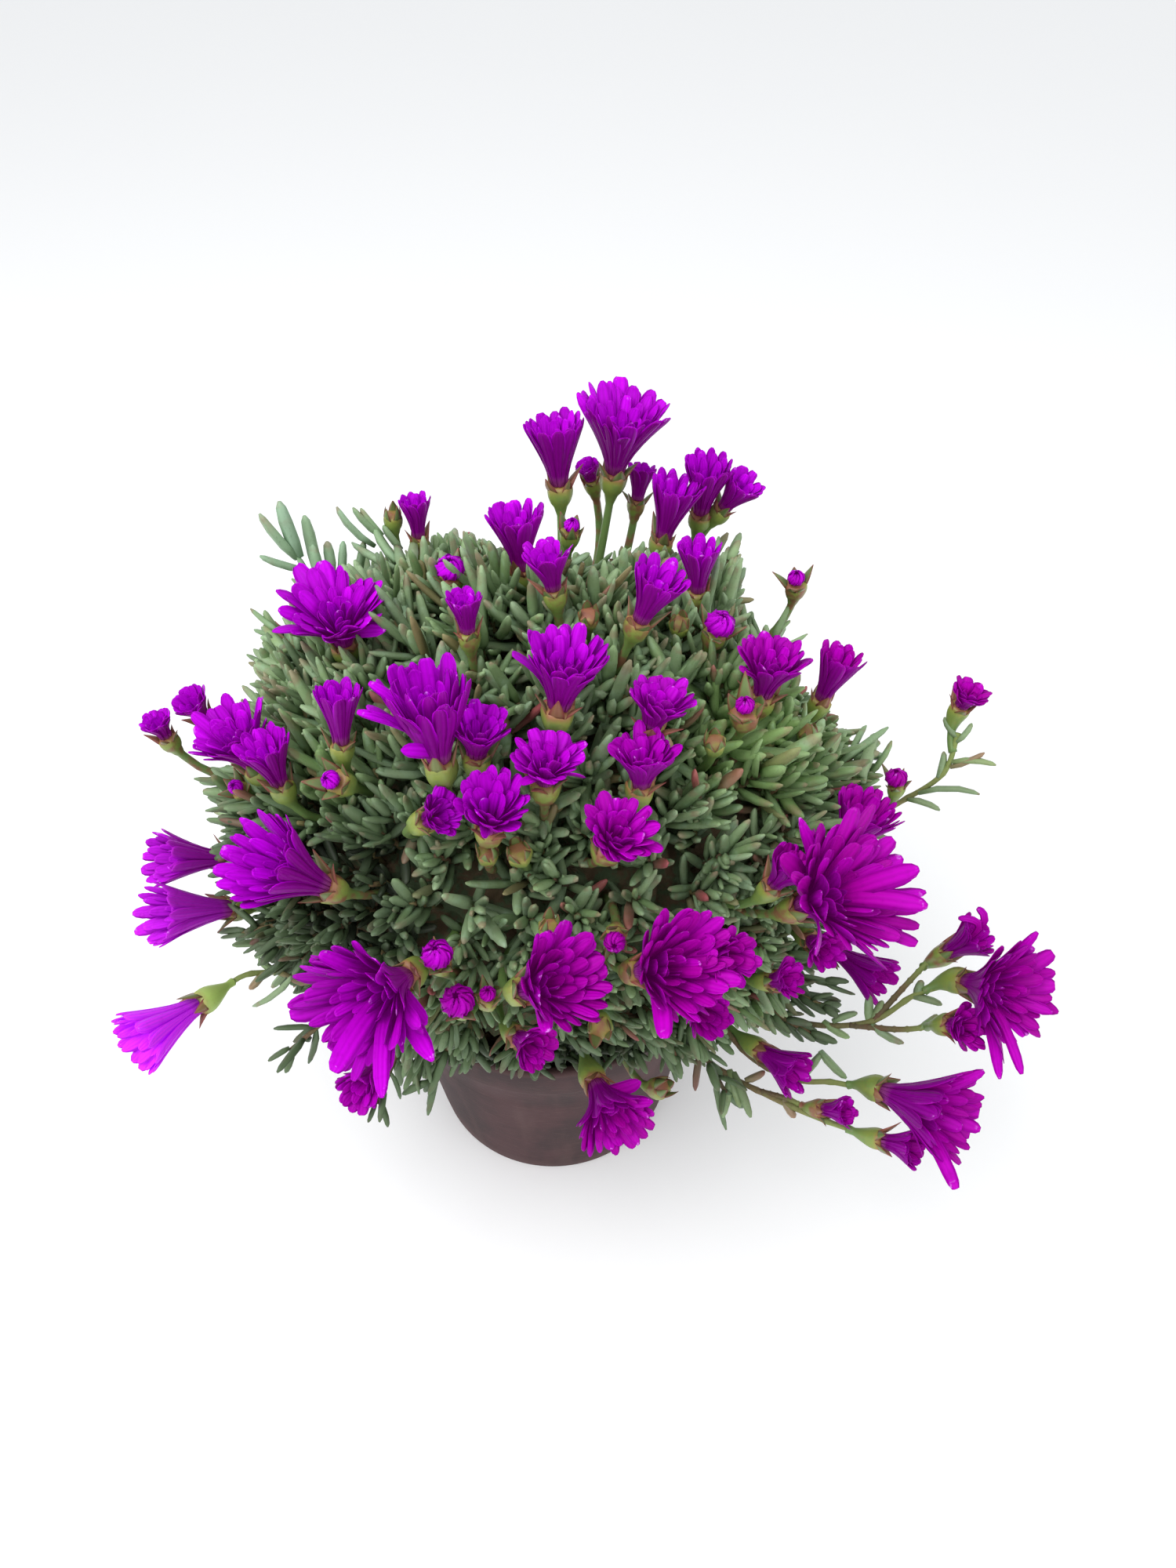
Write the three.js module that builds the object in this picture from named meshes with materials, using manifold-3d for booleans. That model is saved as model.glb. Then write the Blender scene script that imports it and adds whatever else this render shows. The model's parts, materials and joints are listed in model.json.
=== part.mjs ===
// A lampranthus (ice plant) in flower, in a round plastic pot.
// Millimetres, +Z up. The origin is the centre of the pot's underside, and the
// plant is seen from the front along +Y, with +X to the right.
// The pieces are the pot, the potting mix, four leafy clumps that each stand on
// a woody stem in the mix, and the purple flowers that sit on the clumps' calyces.

import * as THREE from "three";
import { mergeVertices } from "three/addons/utils/BufferGeometryUtils.js";
import Module from "manifold-3d";

const wasm = await Module();
wasm.setup();

// Driving dimensions

const GAP = 0.35; // clearance between pieces that touch
const POT = {
  height: 107,
  topRadius: 70,
  baseRadius: 54,
  wall: 2.2,
  floor: 3,
  bandHeight: 17,
  bandStep: 2.4,
  sides: 30,
  drainCount: 5,
  drainRadius: 4,
  drainRing: 38,
};
const MIX = { top: 93, crown: 3, sides: 20 };
const MOUND = {
  centre: new THREE.Vector3(0, 13, 161),
  reach: new THREE.Vector3(124, 103, 114),
  coreShare: 0.85,
  detail: 4,
  underside: 111,
  undersideRadius: 77,
};
const WOODY = { radius: 3.4, depth: 40, ring: 26, sides: 6, clear: 0.4 };
const LEAF = { length: 19, width: 4.9, sunk: 0.5, lowest: -0.5, foot: 0.32, sway: 0.42 };
const CALYX = { length: 11, belly: 4.9, top: 4.3, neck: 1.6, sides: 5, sepal: 4.5 };
const STALK_RADIUS = 1.35;

// The eye that the plant was measured by: a pixel (x, y) of the picture that it
// saw becomes a ray, and a ray becomes a place on or above the mound.
const EYE = {
  place: new THREE.Vector3(16, -294, 486),
  pitch: THREE.MathUtils.degToRad(45),
  focal: 1444,
  middle: [750, 1000],
};

// The clumps, each a slice of the mound between two bearings in degrees,
// counted from +X towards +Y.
const CLUMPS = [
  { name: "leafy_clump_right", from: -38, to: 44 },
  { name: "leafy_clump_back", from: 44, to: 142 },
  { name: "leafy_clump_left", from: 142, to: 230 },
  { name: "leafy_clump_front", from: 230, to: 322 },
];

// The flowers. seat is where the petals leave the calyx and mouth is the middle
// of their open end, both as seen; long is from one to the other and wide is the
// radius of the mouth. lift brings the seat nearer to the eye. Flowers with one
// node name lean on each other and are one body.
const FLOWERS = [
  { node: "bloom_crown_tallest", seat: [784, 602], mouth: [799, 507], long: 28, wide: 16.5, lift: 0, petals: 8 },
  { node: "bloom_crown_left_funnel", seat: [713, 618], mouth: [706, 533], long: 24, wide: 10.5, lift: 6, petals: 6 },
  { node: "bloom_crown_small_dark", seat: [754, 612], mouth: [747, 590], long: 7.5, wide: 4.5, lift: -13, petals: 5 },
  { node: "bloom_crown_narrow", seat: [813, 637], mouth: [820, 594], long: 13, wide: 5, lift: -12, petals: 5 },
  { node: "bloom_crown_right_funnel", seat: [846, 685], mouth: [866, 611], long: 23, wide: 9.5, lift: 8, petals: 6 },
  { node: "bloom_crown_right_high", seat: [894, 654], mouth: [906, 588], long: 22, wide: 8.5, lift: -6, petals: 6 },
  { node: "bloom_crown_right_edge", seat: [923, 648], mouth: [955, 611], long: 15.5, wide: 7, lift: -6, petals: 6 },
  { node: "bloom_back_left_funnel", seat: [665, 725], mouth: [656, 648], long: 21.5, wide: 9.5, lift: 0, petals: 6 },
  { node: "bloom_back_middle", seat: [706, 751], mouth: [695, 697], long: 15, wide: 7.5, lift: 14, petals: 6 },
  { node: "bloom_back_slender", seat: [534, 685], mouth: [528, 634], long: 15.5, wide: 5.6, lift: 0, petals: 6 },
  { node: "bloom_right_of_crown", seat: [890, 754], mouth: [893, 694], long: 17.5, wide: 7, lift: 6, petals: 6 },
  { node: "bloom_leaning_right", seat: [817, 791], mouth: [848, 728], long: 19, wide: 8.5, lift: 16, petals: 6 },
  { node: "bloom_red_sepalled", seat: [597, 806], mouth: [591, 758], long: 13, wide: 5.3, lift: 12, petals: 6 },
  { node: "bloom_right_shoulder", seat: [973, 885], mouth: [991, 825], long: 19, wide: 11.5, lift: 6, petals: 7 },
  { node: "bloom_right_shoulder_narrow", seat: [1048, 891], mouth: [1077, 831], long: 20, wide: 7.5, lift: 4, petals: 6 },
  { node: "bloom_middle_funnel", seat: [713, 901], mouth: [726, 820], long: 22.5, wide: 12.5, lift: 16, petals: 7 },
  { node: "bloom_middle_right", seat: [831, 926], mouth: [848, 876], long: 15, wide: 10, lift: 15, petals: 6 },
  { node: "bloom_left_shoulder_open", seat: [438, 818], mouth: [422, 758], long: 21.5, wide: 18, lift: 4, petals: 9 },
  { node: "bloom_left_narrow", seat: [435, 947], mouth: [430, 876], long: 19.5, wide: 7, lift: 13, petals: 6 },
  { node: "blooms_left_centre_pair", seat: [560, 970], mouth: [538, 850], long: 31.5, wide: 17, lift: 18, petals: 9 },
  { node: "blooms_left_centre_pair", seat: [608, 962], mouth: [611, 914], long: 14.5, wide: 9.5, lift: 13, petals: 6 },
  { node: "blooms_left_edge_pair", seat: [325, 975], mouth: [284, 920], long: 21.5, wide: 14, lift: 4, petals: 8 },
  { node: "blooms_left_edge_pair", seat: [357, 999], mouth: [332, 943], long: 18, wide: 8.5, lift: 8, petals: 6 },
  { node: "bloom_left_edge_behind", seat: [261, 915], mouth: [238, 889], long: 12, wide: 7, lift: 0, petals: 6 },
  { node: "bloom_left_edge_small", seat: [212, 939], mouth: [195, 915], long: 9.5, wide: 6, lift: 6, petals: 6 },
  { node: "bloom_centre_rosette", seat: [696, 995], mouth: [698, 955], long: 13, wide: 11.5, lift: 14, petals: 8 },
  { node: "bloom_centre_right", seat: [817, 1000], mouth: [823, 947], long: 15.8, wide: 9.8, lift: 13, petals: 6 },
  { node: "bloom_centre_facing", seat: [625, 1054], mouth: [630, 1013], long: 16.5, wide: 10.5, lift: 16, petals: 7 },
  { node: "bloom_centre_dark", seat: [545, 1046], mouth: [571, 1034], long: 9.5, wide: 8, lift: 15, petals: 6 },
  { node: "bloom_centre_fan", seat: [778, 1079], mouth: [798, 1051], long: 15, wide: 11.8, lift: 14, petals: 8 },
  { node: "bloom_far_right_small", seat: [1226, 900], mouth: [1243, 877], long: 10, wide: 7.5, lift: -10, petals: 6, on: "stem_right_upper" },
  { node: "blooms_right_pair", seat: [1022, 1157], mouth: [1114, 1122], long: 30.5, wide: 25, lift: 22, petals: 10 },
  { node: "bloom_right_upper", seat: [1075, 1086], mouth: [1114, 1022], long: 24, wide: 11.5, lift: -2, petals: 7 },
  { node: "blooms_right_pair", seat: [987, 1128], mouth: [1016, 1095], long: 14, wide: 7.6, lift: 16, petals: 6 },
  { node: "bloom_left_low_upper", seat: [284, 1095], mouth: [198, 1095], long: 26.5, wide: 9.5, lift: 2, petals: 6 },
  { node: "bloom_left_low_lower", seat: [292, 1159], mouth: [192, 1167], long: 31, wide: 11, lift: 2, petals: 7 },
  { node: "bloom_left_lower_open", seat: [413, 1130], mouth: [318, 1090], long: 30, wide: 14.5, lift: 14, petals: 8 },
  { node: "bloom_left_pale_trailing", seat: [252, 1282], mouth: [167, 1335], long: 27, wide: 11.5, lift: 6, petals: 7, on: "stem_left" },
  { node: "bloom_front_left_largest", seat: [517, 1246], mouth: [435, 1297], long: 31, wide: 21, lift: 20, petals: 10 },
  { node: "bloom_front_left_under", seat: [478, 1362], mouth: [450, 1398], long: 16.5, wide: 9, lift: 2, petals: 6 },
  { node: "bloom_front_middle", seat: [671, 1262], mouth: [733, 1243], long: 25.5, wide: 15.5, lift: 18, petals: 9 },
  { node: "bloom_front_middle_under", seat: [661, 1323], mouth: [690, 1342], long: 13, wide: 8, lift: 6, petals: 6 },
  { node: "blooms_front_right_pair", seat: [819, 1238], mouth: [886, 1228], long: 28, wide: 16.5, lift: 18, petals: 9 },
  { node: "bloom_front_right_under", seat: [883, 1283], mouth: [909, 1297], long: 14, wide: 8, lift: 14, petals: 6 },
  { node: "blooms_front_right_pair", seat: [915, 1216], mouth: [944, 1226], long: 12, wide: 9, lift: 26, petals: 6 },
  { node: "bloom_front_low", seat: [760, 1383], mouth: [791, 1446], long: 23, wide: 14, lift: 10, petals: 8 },
  { node: "bloom_right_small", seat: [985, 1251], mouth: [1014, 1248], long: 10.5, wide: 6.6, lift: 8, petals: 6 },
  { node: "bloom_right_under_inner", seat: [1035, 1200], mouth: [1060, 1216], long: 13, wide: 7.5, lift: -4, petals: 6 },
  { node: "bloom_right_under_outer", seat: [1068, 1215], mouth: [1130, 1255], long: 22.5, wide: 9, lift: -8, petals: 6 },
  { node: "bloom_right_low", seat: [971, 1341], mouth: [1022, 1374], long: 19, wide: 9, lift: 4, petals: 6 },
  { node: "blooms_far_right_pair", seat: [1232, 1253], mouth: [1312, 1272], long: 26.5, wide: 21, lift: 4, petals: 10, on: "stem_right_middle" },
  { node: "blooms_far_right_pair", seat: [1213, 1308], mouth: [1243, 1310], long: 11.5, wide: 8.5, lift: 13, petals: 6, on: "stem_right_middle_low" },
  { node: "bloom_far_right_upper", seat: [1208, 1215], mouth: [1254, 1190], long: 16.5, wide: 8, lift: -4, petals: 6, on: "stem_right_middle_high" },
  { node: "blooms_low_right_pair", seat: [1127, 1392], mouth: [1230, 1432], long: 31.5, wide: 17, lift: 4, petals: 9, on: "stem_right_lower_high" },
  { node: "blooms_low_right_pair", seat: [1127, 1455], mouth: [1172, 1466], long: 13.5, wide: 7, lift: 2, petals: 6, on: "stem_right_lower" },
  { node: "bloom_low_right_small", seat: [1050, 1415], mouth: [1084, 1418], long: 11, wide: 5.6, lift: 4, petals: 6, on: "stem_right_lower_middle" },
  { node: "bloom_back_right_low", bearing: 52, climb: -3, long: 25, wide: 14, petals: 8 },
  { node: "bloom_back_left_low", bearing: 128, climb: -6, long: 28, wide: 16, petals: 8 },
  { node: "bloom_back_centre_low", bearing: 86, climb: -10, long: 22, wide: 9, petals: 6 },
];

// Buds: a closed calyx on its stalk. opening is the radius of the ball of folded
// petals that shows between the sepals, and 0 leaves the bud shut.
const BUDS = [
  { seat: [728, 677], mouth: [731, 655], opening: 2.6, lift: 4 },
  { seat: [575, 734], mouth: [573, 712], opening: 4.6, lift: 12 },
  { seat: [914, 805], mouth: [923, 784], opening: 4.8, lift: 10 },
  { seat: [1015, 744], mouth: [1016, 724], opening: 3, lift: 0 },
  { seat: [950, 906], mouth: [950, 886], opening: 2.6, lift: 16 },
  { seat: [912, 945], mouth: [913, 928], opening: 0, lift: 14 },
  { seat: [1143, 1000], mouth: [1143, 980], opening: 4, lift: 0 },
  { seat: [560, 1226], mouth: [554, 1208], opening: 4.8, lift: 14 },
  { seat: [586, 1284], mouth: [581, 1270], opening: 5.4, lift: 14 },
  { seat: [785, 1196], mouth: [783, 1212], opening: 3.2, lift: 12 },
  { seat: [701, 1180], mouth: [703, 1160], opening: 0, lift: 12 },
  { seat: [428, 997], mouth: [408, 990], opening: 2.8, lift: 14 },
  { seat: [622, 1086], mouth: [622, 1070], opening: 0, lift: 8 },
  { seat: [661, 1086], mouth: [656, 1072], opening: 0, lift: 10 },
  { seat: [846, 1386], mouth: [864, 1380], opening: 0, lift: 8 },
  { seat: [765, 1312], mouth: [764, 1326], opening: 0, lift: 12 },
  { seat: [304, 1006], mouth: [292, 998], opening: 2.4, lift: 6 },
  { seat: [867, 794], mouth: [868, 778], opening: 0, lift: 8 },
  { seat: [1030, 932], mouth: [1032, 916], opening: 0, lift: 8 },
  { seat: [622, 1272], mouth: [622, 1256], opening: 2.4, lift: 10 },
  { seat: [501, 656], mouth: [500, 632], opening: 0, lift: 0 },
  { seat: [751, 784], mouth: [751, 768], opening: 0, lift: 10 },
  { bearing: 66, climb: 12, opening: 3 },
  { bearing: 108, climb: 4, opening: 0 },
];

// Stems that trail out of the mound, as points seen, from the root outwards. A
// branch leaves another stem, from, at a share of its length. Flowers name the
// stem that carries them.
const STEMS = [
  { name: "stem_right_upper", seen: [[1070, 1056], [1150, 1022], [1204, 985], [1222, 935]], lift: -12, pairs: 2 },
  { name: "stem_right_middle", seen: [[1010, 1300], [1110, 1303], [1165, 1270], [1200, 1258]], pairs: 2 },
  { name: "stem_right_middle_low", from: "stem_right_middle", at: 0.6, seen: [[1150, 1313], [1190, 1309]], pairs: 1 },
  { name: "stem_right_middle_high", from: "stem_right_middle", at: 0.7, seen: [[1150, 1262], [1182, 1228]], pairs: 1 },
  { name: "stem_right_lower", seen: [[900, 1350], [985, 1400], [1060, 1432], [1102, 1446]], pairs: 2 },
  { name: "stem_right_lower_middle", from: "stem_right_lower", at: 0.55, seen: [[1005, 1402], [1026, 1412]], pairs: 0 },
  { name: "stem_right_lower_high", seen: [[960, 1350], [1020, 1378], [1060, 1380], [1100, 1388]], pairs: 1 },
  { name: "stem_left", seen: [[400, 1250], [350, 1240], [312, 1244], [278, 1266]], pairs: 0 },
];
const STEM_RADIUS = 1.25;

// Leafy shoots that stand out of the mound's outline, as seen, root then tip.
const SHOOTS = [
  { root: [420, 760], tip: [362, 655], pairs: 3 },
  { root: [400, 760], tip: [345, 705], pairs: 1 },
  { root: [540, 745], tip: [440, 655], pairs: 3 },
  { root: [470, 750], tip: [395, 670], pairs: 1 },
  { root: [606, 744], tip: [602, 692], pairs: 0 },
  { root: [380, 860], tip: [335, 790], pairs: 1 },
  { root: [330, 1085], tip: [275, 1040], pairs: 1 },
  { root: [350, 1200], tip: [285, 1195], pairs: 1 },
  { root: [930, 780], tip: [940, 690], pairs: 1 },
  { root: [1000, 860], tip: [1008, 785], pairs: 0 },
  { root: [1080, 1010], tip: [1125, 945], pairs: 2 },
  { root: [1020, 1290], tip: [1080, 1270], pairs: 1 },
  { root: [398, 1322], tip: [346, 1360], pairs: 1 },
  { root: [570, 1350], tip: [540, 1402], pairs: 1 },
  { root: [460, 1370], tip: [470, 1436], pairs: 1 },
  { root: [910, 1350], tip: [940, 1420], pairs: 1 },
];

// Seeded draws, the same on every run.
function drawsFrom(seed) {
  let state = seed >>> 0;
  return () => {
    state = (state + 0x6d2b79f5) >>> 0;
    let t = Math.imul(state ^ (state >>> 15), 1 | state);
    t = (t + Math.imul(t ^ (t >>> 7), 61 | t)) ^ t;
    return ((t ^ (t >>> 14)) >>> 0) / 4294967296;
  };
}

// Solids

function solidOf(geometry) {
  geometry.deleteAttribute("normal");
  geometry.deleteAttribute("uv");
  const merged = mergeVertices(geometry, 1e-4);
  const mesh = new wasm.Mesh({
    numProp: 3,
    vertProperties: new Float32Array(merged.attributes.position.array),
    triVerts: new Uint32Array(merged.index.array),
  });
  return new wasm.Manifold(mesh);
}

function geometryOf(solid) {
  const mesh = solid.getMesh();
  const positions = new THREE.BufferAttribute(new Float32Array(mesh.vertProperties), 3);
  const geometry = new THREE.BufferGeometry().setAttribute("position", positions);
  geometry.setIndex(new THREE.BufferAttribute(new Uint32Array(mesh.triVerts), 1));
  geometry.computeVertexNormals();
  return geometry;
}

// Joins solids and keeps the one body that holds almost all of them.
function joined(solids) {
  const whole = wasm.Manifold.union(solids);
  const bodies = whole.decompose();
  bodies.sort((a, b) => b.volume() - a.volume());
  return bodies[0];
}

// A profile of [radius, height] pairs turned about +Z.
function turned(profile, sides) {
  const points = profile.map(([radius, height]) => new THREE.Vector2(radius, height));
  return new THREE.LatheGeometry(points, sides).rotateX(Math.PI / 2);
}

// A ring of corners about +Z. radii and heights are taken in turn around it.
function ring(count, radii, heights) {
  return Array.from({ length: count }, (_, i) => {
    const turn = (i / count) * 2 * Math.PI;
    const radius = radii[i % radii.length];
    return new THREE.Vector3(Math.cos(turn) * radius, Math.sin(turn) * radius, heights[i % heights.length]);
  });
}

// The triangles between two rings, where one may have twice the corners of the
// other or be a single point. first and second are the rings' first corners.
// Where it is folded, every second side is split the other way, so that the
// folds lie alike on both sides of each even corner.
function stitched(lower, first, upper, second, folded) {
  const count = Math.max(lower, upper);
  const faces = [];
  for (let i = 0; i < count; i += 1) {
    const below = [i, i + 1].map((side) => first + (Math.floor((side * lower) / count + 0.5) % lower));
    const above = [i, i + 1].map((side) => second + (Math.floor((side * upper) / count + 0.5) % upper));
    const mirrored = folded && lower === upper && i % 2 === 1;
    if (mirrored) faces.push([below[0], below[1], above[0]], [below[1], above[1], above[0]]);
    else if (below[0] !== below[1]) faces.push([below[0], below[1], above[1]]);
    if (!mirrored && above[0] !== above[1]) faces.push([below[0], above[1], above[0]]);
  }
  return faces;
}

// A closed skin over rings of corners, from the lowest to the last.
function skin(rings, folded = false) {
  const corners = rings.flat();
  const faces = [];
  let first = 0;
  for (let i = 2; i < rings[0].length; i += 1) faces.push([0, i, i - 1]);
  rings.forEach((lower, i) => {
    const second = first + lower.length;
    const upper = rings[i + 1];
    if (upper !== undefined) faces.push(...stitched(lower.length, first, upper.length, second, folded));
    else for (let j = 2; j < lower.length; j += 1) faces.push([first, first + j - 1, first + j]);
    first = second;
  });
  const geometry = new THREE.BufferGeometry().setFromPoints(corners);
  return geometry.setIndex(faces.flat());
}

// A skin over round rings, given as [corner count, radius, height].
function roundSkin(levels) {
  return skin(levels.map(([count, radius, height]) => ring(count, [radius], [height])));
}

// Stands a geometry that was made along +Z on a place, pointing along a direction.
function stood(geometry, place, direction) {
  const turn = new THREE.Quaternion().setFromUnitVectors(new THREE.Vector3(0, 0, 1), direction);
  return geometry.applyMatrix4(new THREE.Matrix4().compose(place, turn, new THREE.Vector3(1, 1, 1)));
}

// Bends a geometry that was made along +Z, from 0 to length, onto a curve.
function bent(geometry, curve, length) {
  const positions = geometry.attributes.position;
  const first = curve.getTangentAt(0);
  const side = new THREE.Vector3(Math.abs(first.z) > 0.9 ? 1 : 0, 0, Math.abs(first.z) > 0.9 ? 0 : 1);
  const corner = new THREE.Vector3();
  for (let i = 0; i < positions.count; i += 1) {
    corner.fromBufferAttribute(positions, i);
    const along = THREE.MathUtils.clamp(corner.z / length, 0, 1);
    const heading = curve.getTangentAt(along);
    const across = new THREE.Vector3().crossVectors(side, heading).normalize();
    const up = new THREE.Vector3().crossVectors(heading, across);
    const middle = curve.getPointAt(along).addScaledVector(heading, corner.z - along * length);
    middle.addScaledVector(across, corner.x).addScaledVector(up, corner.y);
    positions.setXYZ(i, middle.x, middle.y, middle.z);
  }
  return geometry;
}

// Places

const forward = new THREE.Vector3(0, Math.cos(EYE.pitch), -Math.sin(EYE.pitch));
const upward = new THREE.Vector3(0, Math.sin(EYE.pitch), Math.cos(EYE.pitch));

function rayThrough([x, y]) {
  const ray = forward.clone().multiplyScalar(EYE.focal);
  ray.x += x - EYE.middle[0];
  return ray.addScaledVector(upward, EYE.middle[1] - y).normalize();
}

// Where a ray from the eye meets the mound, or passes it most closely.
function onMound(seen, lift) {
  const ray = rayThrough(seen);
  const start = EYE.place.clone().sub(MOUND.centre).divide(MOUND.reach);
  const run = ray.clone().divide(MOUND.reach);
  const half = start.dot(run);
  const inside = half * half - run.dot(run) * (start.dot(start) - 1);
  const far = (-half - Math.sqrt(Math.max(0, inside))) / run.dot(run);
  return EYE.place.clone().addScaledVector(ray, far - lift);
}

// The direction out of the mound at a bearing and a climb, in degrees.
function outwards(bearing, climb) {
  const turn = THREE.MathUtils.degToRad(bearing);
  const rise = THREE.MathUtils.degToRad(climb);
  return new THREE.Vector3(Math.cos(turn) * Math.cos(rise), Math.sin(turn) * Math.cos(rise), Math.sin(rise));
}

// How far a place is out from the mound's centre: 1 on its leaf tips.
function outness(place) {
  return place.clone().sub(MOUND.centre).divide(MOUND.reach).length();
}

// A place's twin on a shell inside or outside the mound, towards its centre.
function onShell(place, share) {
  return MOUND.centre.clone().lerp(place, share / outness(place));
}

// The seat of a flower or bud and the direction that it opens in.
function standing(flower) {
  const long = flower.long ?? 8;
  if (flower.seat === undefined) {
    const out = outwards(flower.bearing, flower.climb);
    const seat = onShell(MOUND.centre.clone().add(out), 1).addScaledVector(out, 14);
    return { seat, facing: out.clone().add(new THREE.Vector3(0, 0, 0.45)).normalize(), long };
  }
  const seat = onMound(flower.seat, flower.lift);
  const ray = rayThrough(flower.mouth);
  const along = seat.clone().sub(EYE.place).dot(ray);
  const nearest = EYE.place.clone().addScaledVector(ray, along);
  const aside = nearest.distanceTo(seat);
  const back = Math.sqrt(Math.max(0, long * long - aside * aside));
  const mouth = nearest.addScaledVector(ray, -back);
  return { seat, facing: mouth.sub(seat).normalize(), long };
}

function bearingOf(place) {
  const turn = THREE.MathUtils.radToDeg(Math.atan2(place.y - MOUND.centre.y, place.x - MOUND.centre.x));
  return turn < CLUMPS[0].from ? turn + 360 : turn;
}

function clumpAt(place) {
  const turn = bearingOf(place);
  return CLUMPS.findIndex((clump) => turn >= clump.from && turn < clump.to);
}

// Pot and potting mix

function pot() {
  const { height, topRadius, baseRadius, wall, floor, bandHeight, bandStep } = POT;
  const lean = (topRadius - bandStep - baseRadius) / height;
  const under = height - bandHeight;
  const profile = [
    [0, 0],
    [baseRadius - 1.5, 0],
    [baseRadius, 1.5],
    [baseRadius + lean * under, under],
    [topRadius - 1, under + 1],
    [topRadius, height - 1.2],
    [topRadius - 1.2, height],
    [topRadius - wall - 1.4, height],
    [baseRadius + lean * under - wall, under],
    [baseRadius + lean * floor - wall, floor],
    [0, floor],
  ];
  let body = solidOf(turned(profile, POT.sides));
  for (let i = 0; i < POT.drainCount; i += 1) {
    const drain = new THREE.CylinderGeometry(POT.drainRadius, POT.drainRadius, floor * 4, 6).rotateX(Math.PI / 2);
    const turn = (i / POT.drainCount) * 2 * Math.PI;
    drain.translate(Math.cos(turn) * POT.drainRing, Math.sin(turn) * POT.drainRing, 0);
    body = body.subtract(solidOf(drain));
  }
  return body;
}

// The middle of the hole in the mix that a clump's woody stem stands in.
function stemFoot(clump) {
  const middle = outwards((clump.from + clump.to) / 2, 0).multiplyScalar(WOODY.ring);
  return middle.setZ(MIX.top - WOODY.depth);
}

function pottingMix() {
  const { height, topRadius, baseRadius, wall, floor, bandHeight, bandStep } = POT;
  const lean = (topRadius - bandStep - baseRadius) / height;
  const under = height - bandHeight;
  const inside = baseRadius - wall - GAP * 1.5;
  const profile = [
    [0, floor + GAP],
    [inside + lean * floor, floor + GAP],
    [inside + lean * under, under],
    [inside + lean * under, MIX.top - 1],
    [(inside + lean * under) * 0.6, MIX.top + MIX.crown * 0.7],
    [0, MIX.top + MIX.crown],
  ];
  let body = solidOf(turned(profile, MIX.sides));
  for (const clump of CLUMPS) {
    const hole = new THREE.CylinderGeometry(WOODY.radius + WOODY.clear, WOODY.radius + WOODY.clear, 80, WOODY.sides);
    const foot = stemFoot(clump);
    hole.rotateX(Math.PI / 2).translate(foot.x, foot.y, foot.z + 40 - GAP);
    body = body.subtract(solidOf(hole));
  }
  return body;
}

// Leaves

function leaf({ root, direction, length, width }) {
  const blade = roundSkin([
    [1, 0, -LEAF.sunk],
    [3, width * 0.56, length * 0.42],
    [1, 0, length],
  ]);
  return solidOf(stood(blade, root, direction));
}

// The two leaves of a pair stand across a stem from each other.
function leafPair(place, along, turn, length) {
  const side = new THREE.Vector3(1, 0, 0).cross(along);
  if (side.length() < 0.3) side.set(0, 1, 0).cross(along);
  side.normalize().applyAxisAngle(along, turn);
  return [1, -1].map((hand) => {
    const direction = along.clone().multiplyScalar(0.8).addScaledVector(side, hand * 0.75).normalize();
    const root = place.clone().addScaledVector(side, hand * 0.55);
    return { root, direction, length, width: LEAF.width * 0.92 };
  });
}

// Flowers

// The curve of a stalk, which ends along the way that its flower faces.
function stalkCurve(root, seat, facing) {
  const bend = seat.clone().addScaledVector(facing, -root.distanceTo(seat) * 0.62);
  return new THREE.QuadraticBezierCurve3(root, bend, seat);
}

// A calyx grows with its flower.
function calyxSize(flower) {
  return THREE.MathUtils.clamp(0.5 + flower.wide * 0.045, 0.72, 1.05);
}

// The green of a flower: a stalk that swells into the calyx. Five sepals stand up
// around the petals' foot, on all but the smallest flowers.
function flowerGreen(curve, size) {
  const length = curve.getLength();
  const swell = Math.min(CALYX.length * size, length * 0.6);
  const { belly, top, sepal, sides } = CALYX;
  const levels = [
    ring(3, [STALK_RADIUS], [0]),
    ring(3, [CALYX.neck], [length - swell]),
    ring(sides, [belly * size], [length - swell * 0.35]),
  ];
  if (size > 0.8) {
    levels.push(ring(sides * 2, [belly * size * 1.18, top * size], [length + sepal * size, length - 0.3]));
  }
  levels.push(ring(sides, [top * size * 0.8], [length]));
  return solidOf(bent(skin(levels), curve, length));
}

// The green of a bud, shut to a point or, where it opens, around folded petals.
function budGreen(curve, facing, size, opening) {
  const length = curve.getLength();
  const swell = Math.min(CALYX.length * size, length * 0.6);
  const bud = roundSkin([
    [3, STALK_RADIUS, 0],
    [3, CALYX.neck, length - swell],
    [CALYX.sides, CALYX.belly * size, length - swell * 0.35],
    [1, 0, length + CALYX.sepal * size],
  ]);
  const parts = [solidOf(bent(bud, curve, length))];
  if (opening > 0) {
    const folded = roundSkin([[1, 0, -2], [5, opening, opening * 0.6], [1, 0, opening * 1.7 + 2]]);
    parts.push(solidOf(stood(folded, curve.getPointAt(1), facing)));
  }
  return parts;
}

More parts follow.
